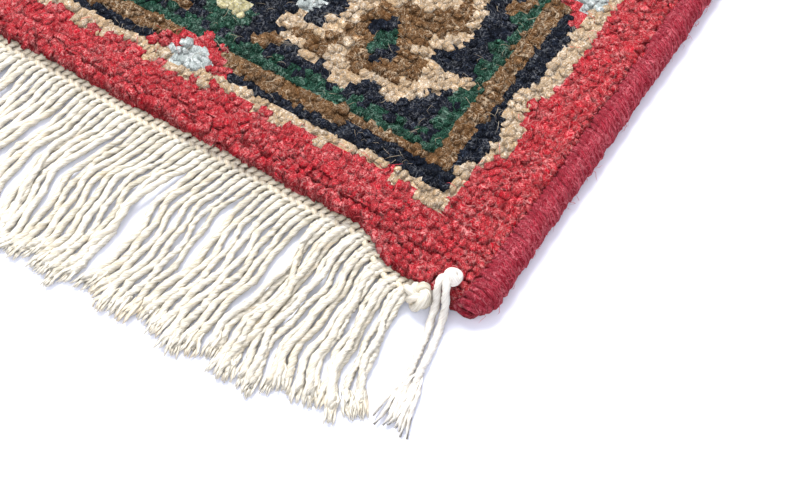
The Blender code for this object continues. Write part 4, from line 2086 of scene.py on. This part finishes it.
@dataclass
class CornerTie:
    """The thread tied over the corner: a round knot and two tails that fall to the floor."""

    name: str
    back: bool
    centre: tuple[float, float, float] = (0.1864, -0.3070, 0.0109)
    radius: float = 0.0023
    yarn: float = 0.00130
    flat: float = 0.82
    twist: float = 110.0
    splayed_yarns: int = 6
    splayed_pitch: float = 0.00125
    splayed_radii: tuple[float, ...] = (
        0.00024, 0.00062, 0.00078, 0.00082, 0.00080, 0.00070, 0.00036,
    )
    tails: tuple[tuple[tuple[float, float, float], ...], ...] = (
        (
            (-0.0012, -0.0008, 0.0004), (-0.0024, -0.0026, -0.0003), (-0.0019, -0.0047, -0.0022),
            (-0.0012, -0.0062, -0.0057), (-0.0009, -0.0088, -0.0085), (0.0002, -0.0130, -0.0098),
            (0.0012, -0.0180, -0.0098), (0.0024, -0.0240, -0.0098), (0.0034, -0.0300, -0.0098),
            (0.0042, -0.0350, -0.0098), (0.0048, -0.0390, -0.0098),
        ),
        (
            (-0.0006, -0.0010, 0.0006), (-0.0002, -0.0029, 0.0000), (0.0008, -0.0050, -0.0024),
            (0.0016, -0.0066, -0.0060), (0.0022, -0.0092, -0.0087), (0.0032, -0.0135, -0.0098),
            (0.0042, -0.0185, -0.0094), (0.0050, -0.0240, -0.0090), (0.0062, -0.0300, -0.0096),
            (0.0072, -0.0350, -0.0098), (0.0080, -0.0385, -0.0098),
        ),
    )

    def build(self, finish: Material) -> Object:
        """Makes the knot and its tails.

        Args:
            finish: The thread's material.

        Returns:
            The tie.
        """
        random = np.random.default_rng(103)
        draft = MeshDraft()
        centre = np.array(self.centre)
        steps = np.linspace(0.0, 2.0 * math.pi, 41)[:-1]
        reach = self.radius - 0.55 * self.yarn
        for tilt, spin, scale in ((0.3, 0.4, 1.0), (1.2, 1.5, 0.9), (1.35, 2.7, 0.84)):
            circle = np.stack([np.cos(steps), np.sin(steps), np.zeros(len(steps))], axis=1)
            tilted = circle @ self.tilt(tilt, spin).T
            wobble = 1.0 + 0.06 * np.sin(3.0 * steps + spin)
            path = centre + tilted * (reach * scale * wobble)[:, None]
            radii = np.full(len(path), self.yarn)
            swept = sweep(at_end(path, self.back), radii, 7, self.flat, 0.0, True)
            draft.add(*swept, 0.5 + 0.1 * spin)
        core = np.outer((-0.0014, -0.0005, 0.0005, 0.0013), (0.0, 0.0, 1.0))
        radii = np.array([0.0008, 0.0014, 0.0014, 0.0007])
        draft.add(*sweep(at_end(centre + core, self.back), radii, 8, self.flat, self.twist), 0.4)
        for number, tail in enumerate(self.tails):
            path = self.smoothed(centre + np.array(tail), 4)
            radii = np.full(len(path), self.yarn)
            radii[-8:] *= (0.95, 0.9, 0.84, 0.78, 0.7, 0.6, 0.5, 0.36)
            swept = sweep(at_end(path, self.back), radii, 7, self.flat, self.twist)
            draft.add(*swept, 0.6 + 0.2 * number)
            self.splay(draft, path, random)
        piece = draft.piece(f"{self.name}_thread", finish)
        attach(piece, BODY)
        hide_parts(self.name)
        LOG.info("%s: %d faces", self.name, len(draft.faces))
        return piece

    def splay(self, draft: MeshDraft, path: np.ndarray, random: np.random.Generator) -> None:
        """Opens the end of a tail into thin yarns.

        Args:
            draft: The tie.
            path: The tail's path.
            random: The source of unevenness.
        """
        start = path[-13]
        ahead = path[-1] - path[-9]
        ahead /= np.linalg.norm(ahead)
        sideways = np.array([-ahead[1], ahead[0], 0.0])
        steps = np.linspace(0.0, 1.0, len(self.splayed_radii))[:, None]
        for number in range(self.splayed_yarns):
            off_middle = number - (self.splayed_yarns - 1) / 2
            length = random.uniform(0.0160, 0.0200)
            root = off_middle * 0.00020
            spread = off_middle * self.splayed_pitch + random.normal(0.0, 0.0004)
            bend = random.normal(0.0, 0.0006)
            yarn = start + ahead * length * steps + sideways * (root + (spread - root) * steps**1.3)
            yarn = yarn + sideways * bend * np.sin(2.0 * math.pi * steps)
            yarn[:, 2] = np.maximum(yarn[:, 2] + random.uniform(-0.0003, 0.0004), 0.0005)
            radii = np.array(self.splayed_radii)
            draft.add(*sweep(at_end(yarn, self.back), radii, 4, self.flat, self.twist), 0.7)

    @staticmethod
    def tilt(lean: float, spin: float) -> np.ndarray:
        """Gives the matrix that leans a circle and then spins it about Z.

        Args:
            lean: The lean about X, in radians.
            spin: The spin, in radians.

        Returns:
            A three by three matrix.
        """
        cosine, sine = math.cos(lean), math.sin(lean)
        about_x = np.array([[1, 0, 0], [0, cosine, -sine], [0, sine, cosine]])
        cosine, sine = math.cos(spin), math.sin(spin)
        about_z = np.array([[cosine, -sine, 0], [sine, cosine, 0], [0, 0, 1]])
        return about_z @ about_x

    @staticmethod
    def smoothed(path: np.ndarray, times: int) -> np.ndarray:
        """Rounds a path off.

        Args:
            path: The path's points.
            times: How many points take the place of one span.

        Returns:
            A smooth path through all points.
        """
        ends = np.concatenate([[2 * path[0] - path[1]], path, [2 * path[-1] - path[-2]]])
        made = []
        for place in range(1, len(ends) - 2):
            before, here, after, later = ends[place - 1 : place + 3]
            for step in range(times):
                t = step / times
                square = (2 * before - 5 * here + 4 * after - later) * t**2
                cube = (3 * here - before - 3 * after + later) * t**3
                made.append(0.5 * (2 * here + (after - before) * t + square + cube))
        made.append(path[-1])
        return np.array(made)


@dataclass
class Studio:
    """A plain white floor, soft light and the camera at the photo's angle."""

    target: tuple[float, float, float] = (0.1699, -0.3068, 0.010)
    azimuth: float = 32.0
    elevation: float = 57.0
    distance: float = 0.5
    lens: float = 85.0
    floor_half: float = 3.0
    floor_level: float = -0.00005

    def build(self) -> None:
        """Sets floor, lights, world and camera."""
        self.floor()
        self.lights()
        self.camera()

    def floor(self) -> None:
        """Makes the floor."""
        half = self.floor_half
        corners = ((-half, -half), (half, -half), (half, half), (-half, half))
        mesh = bpy.data.meshes.new("floor")
        mesh.from_pydata([(*corner, self.floor_level) for corner in corners], [], [(0, 1, 2, 3)])
        material = bpy.data.materials.new("white_painted_floor")
        material.use_nodes = True
        shader = material.node_tree.nodes["Principled BSDF"]
        shader.inputs["Base Color"].default_value = linear("#E6E9F5")
        shader.inputs["Roughness"].default_value = 0.75
        shader.inputs["Specular IOR Level"].default_value = 0.2
        mesh.materials.append(material)
        floor = add_object("floor", mesh)

    def lights(self) -> None:
        """Sets a pale world, a large soft window and a weaker fill."""
        world = bpy.data.worlds.new("pale_room")
        bpy.context.scene.world = world
        world.use_nodes = True
        background = world.node_tree.nodes["Background"]
        background.inputs["Color"].default_value = linear("#F4F5FF")
        background.inputs["Strength"].default_value = 0.95
        for name, place, size, power in (
            ("window", (-0.65, 0.70, 1.35), 0.9, 44.0),
            ("fill", (0.5, -1.3, 1.2), 1.6, 17.0),
        ):
            data = bpy.data.lights.new(name, "AREA")
            data.shape = "DISK"
            data.size = size
            data.energy = power
            lamp = add_object(name, data)
            lamp.location = Vector(place) + Vector(self.target)
            lamp.rotation_euler = (-Vector(place)).to_track_quat("-Z", "Y").to_euler()

    def camera(self) -> None:
        """Sets the camera."""
        turn, rise = math.radians(self.azimuth), math.radians(self.elevation)
        back = Vector(
            (math.sin(turn) * math.cos(rise), -math.cos(turn) * math.cos(rise), math.sin(rise))
        )
        data = bpy.data.cameras.new("camera")
        data.lens = self.lens
        data.sensor_width = 36.0
        data.clip_start = 0.01
        camera = add_object("camera", data)
        camera.location = Vector(self.target) + back * self.distance
        camera.rotation_euler = (-back).to_track_quat("-Z", "Y").to_euler()
        bpy.context.scene.camera = camera
        bpy.context.scene.view_settings.view_transform = "Standard"


@dataclass
class Rug:
    """The whole rug."""

    def build(self) -> None:
        """Makes every piece."""
        scatter = Scatter(scatter_tree())
        cloth, pieces = KnottedCloth(scatter).build()
        wool = SELVEDGE_FINISH.build()
        selvedges = [Selvedge(scatter, 1.0, "selvedge_right"), Selvedge(scatter, -1.0, "selvedge_left")]
        shapes = scatter.shapes("turn", selvedges[0].turn_shapes())
        for selvedge in selvedges:
            pieces += selvedge.build(shapes, wool)
        scatter.clear(shapes)
        cotton, frayed, plaited, thread = (
            finish.build() for finish in (COTTON_FINISH, FRAYED_FINISH, PLAIT_FINISH, TIE_FINISH)
        )
        shapes = scatter.shapes("stitch", FringedEnd.stitch_shapes())
        for place, back in (("front", False), ("back", True)):
            end = FringedEnd(scatter, f"fringe_{place}", back)
            pieces += end.build(shapes, (cotton, frayed, plaited))
            pieces.append(PlaitKnot(f"plait_knot_{place}", back).build(cotton))
            pieces.append(CornerTie(f"corner_tie_{place}", back).build(thread))
        scatter.clear(shapes)
        pieces += LooseFibres(scatter).build(selvedges)


def main() -> None:
    """Builds the rug and the studio."""
    logging.basicConfig(level=logging.INFO, format="%(name)s %(message)s")
    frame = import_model()
    LOG.info("%d solids in the frame", len(frame["nodes"]))
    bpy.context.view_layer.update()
    Rug().build()
    Studio().build()


if __name__ == "__main__":
    main()
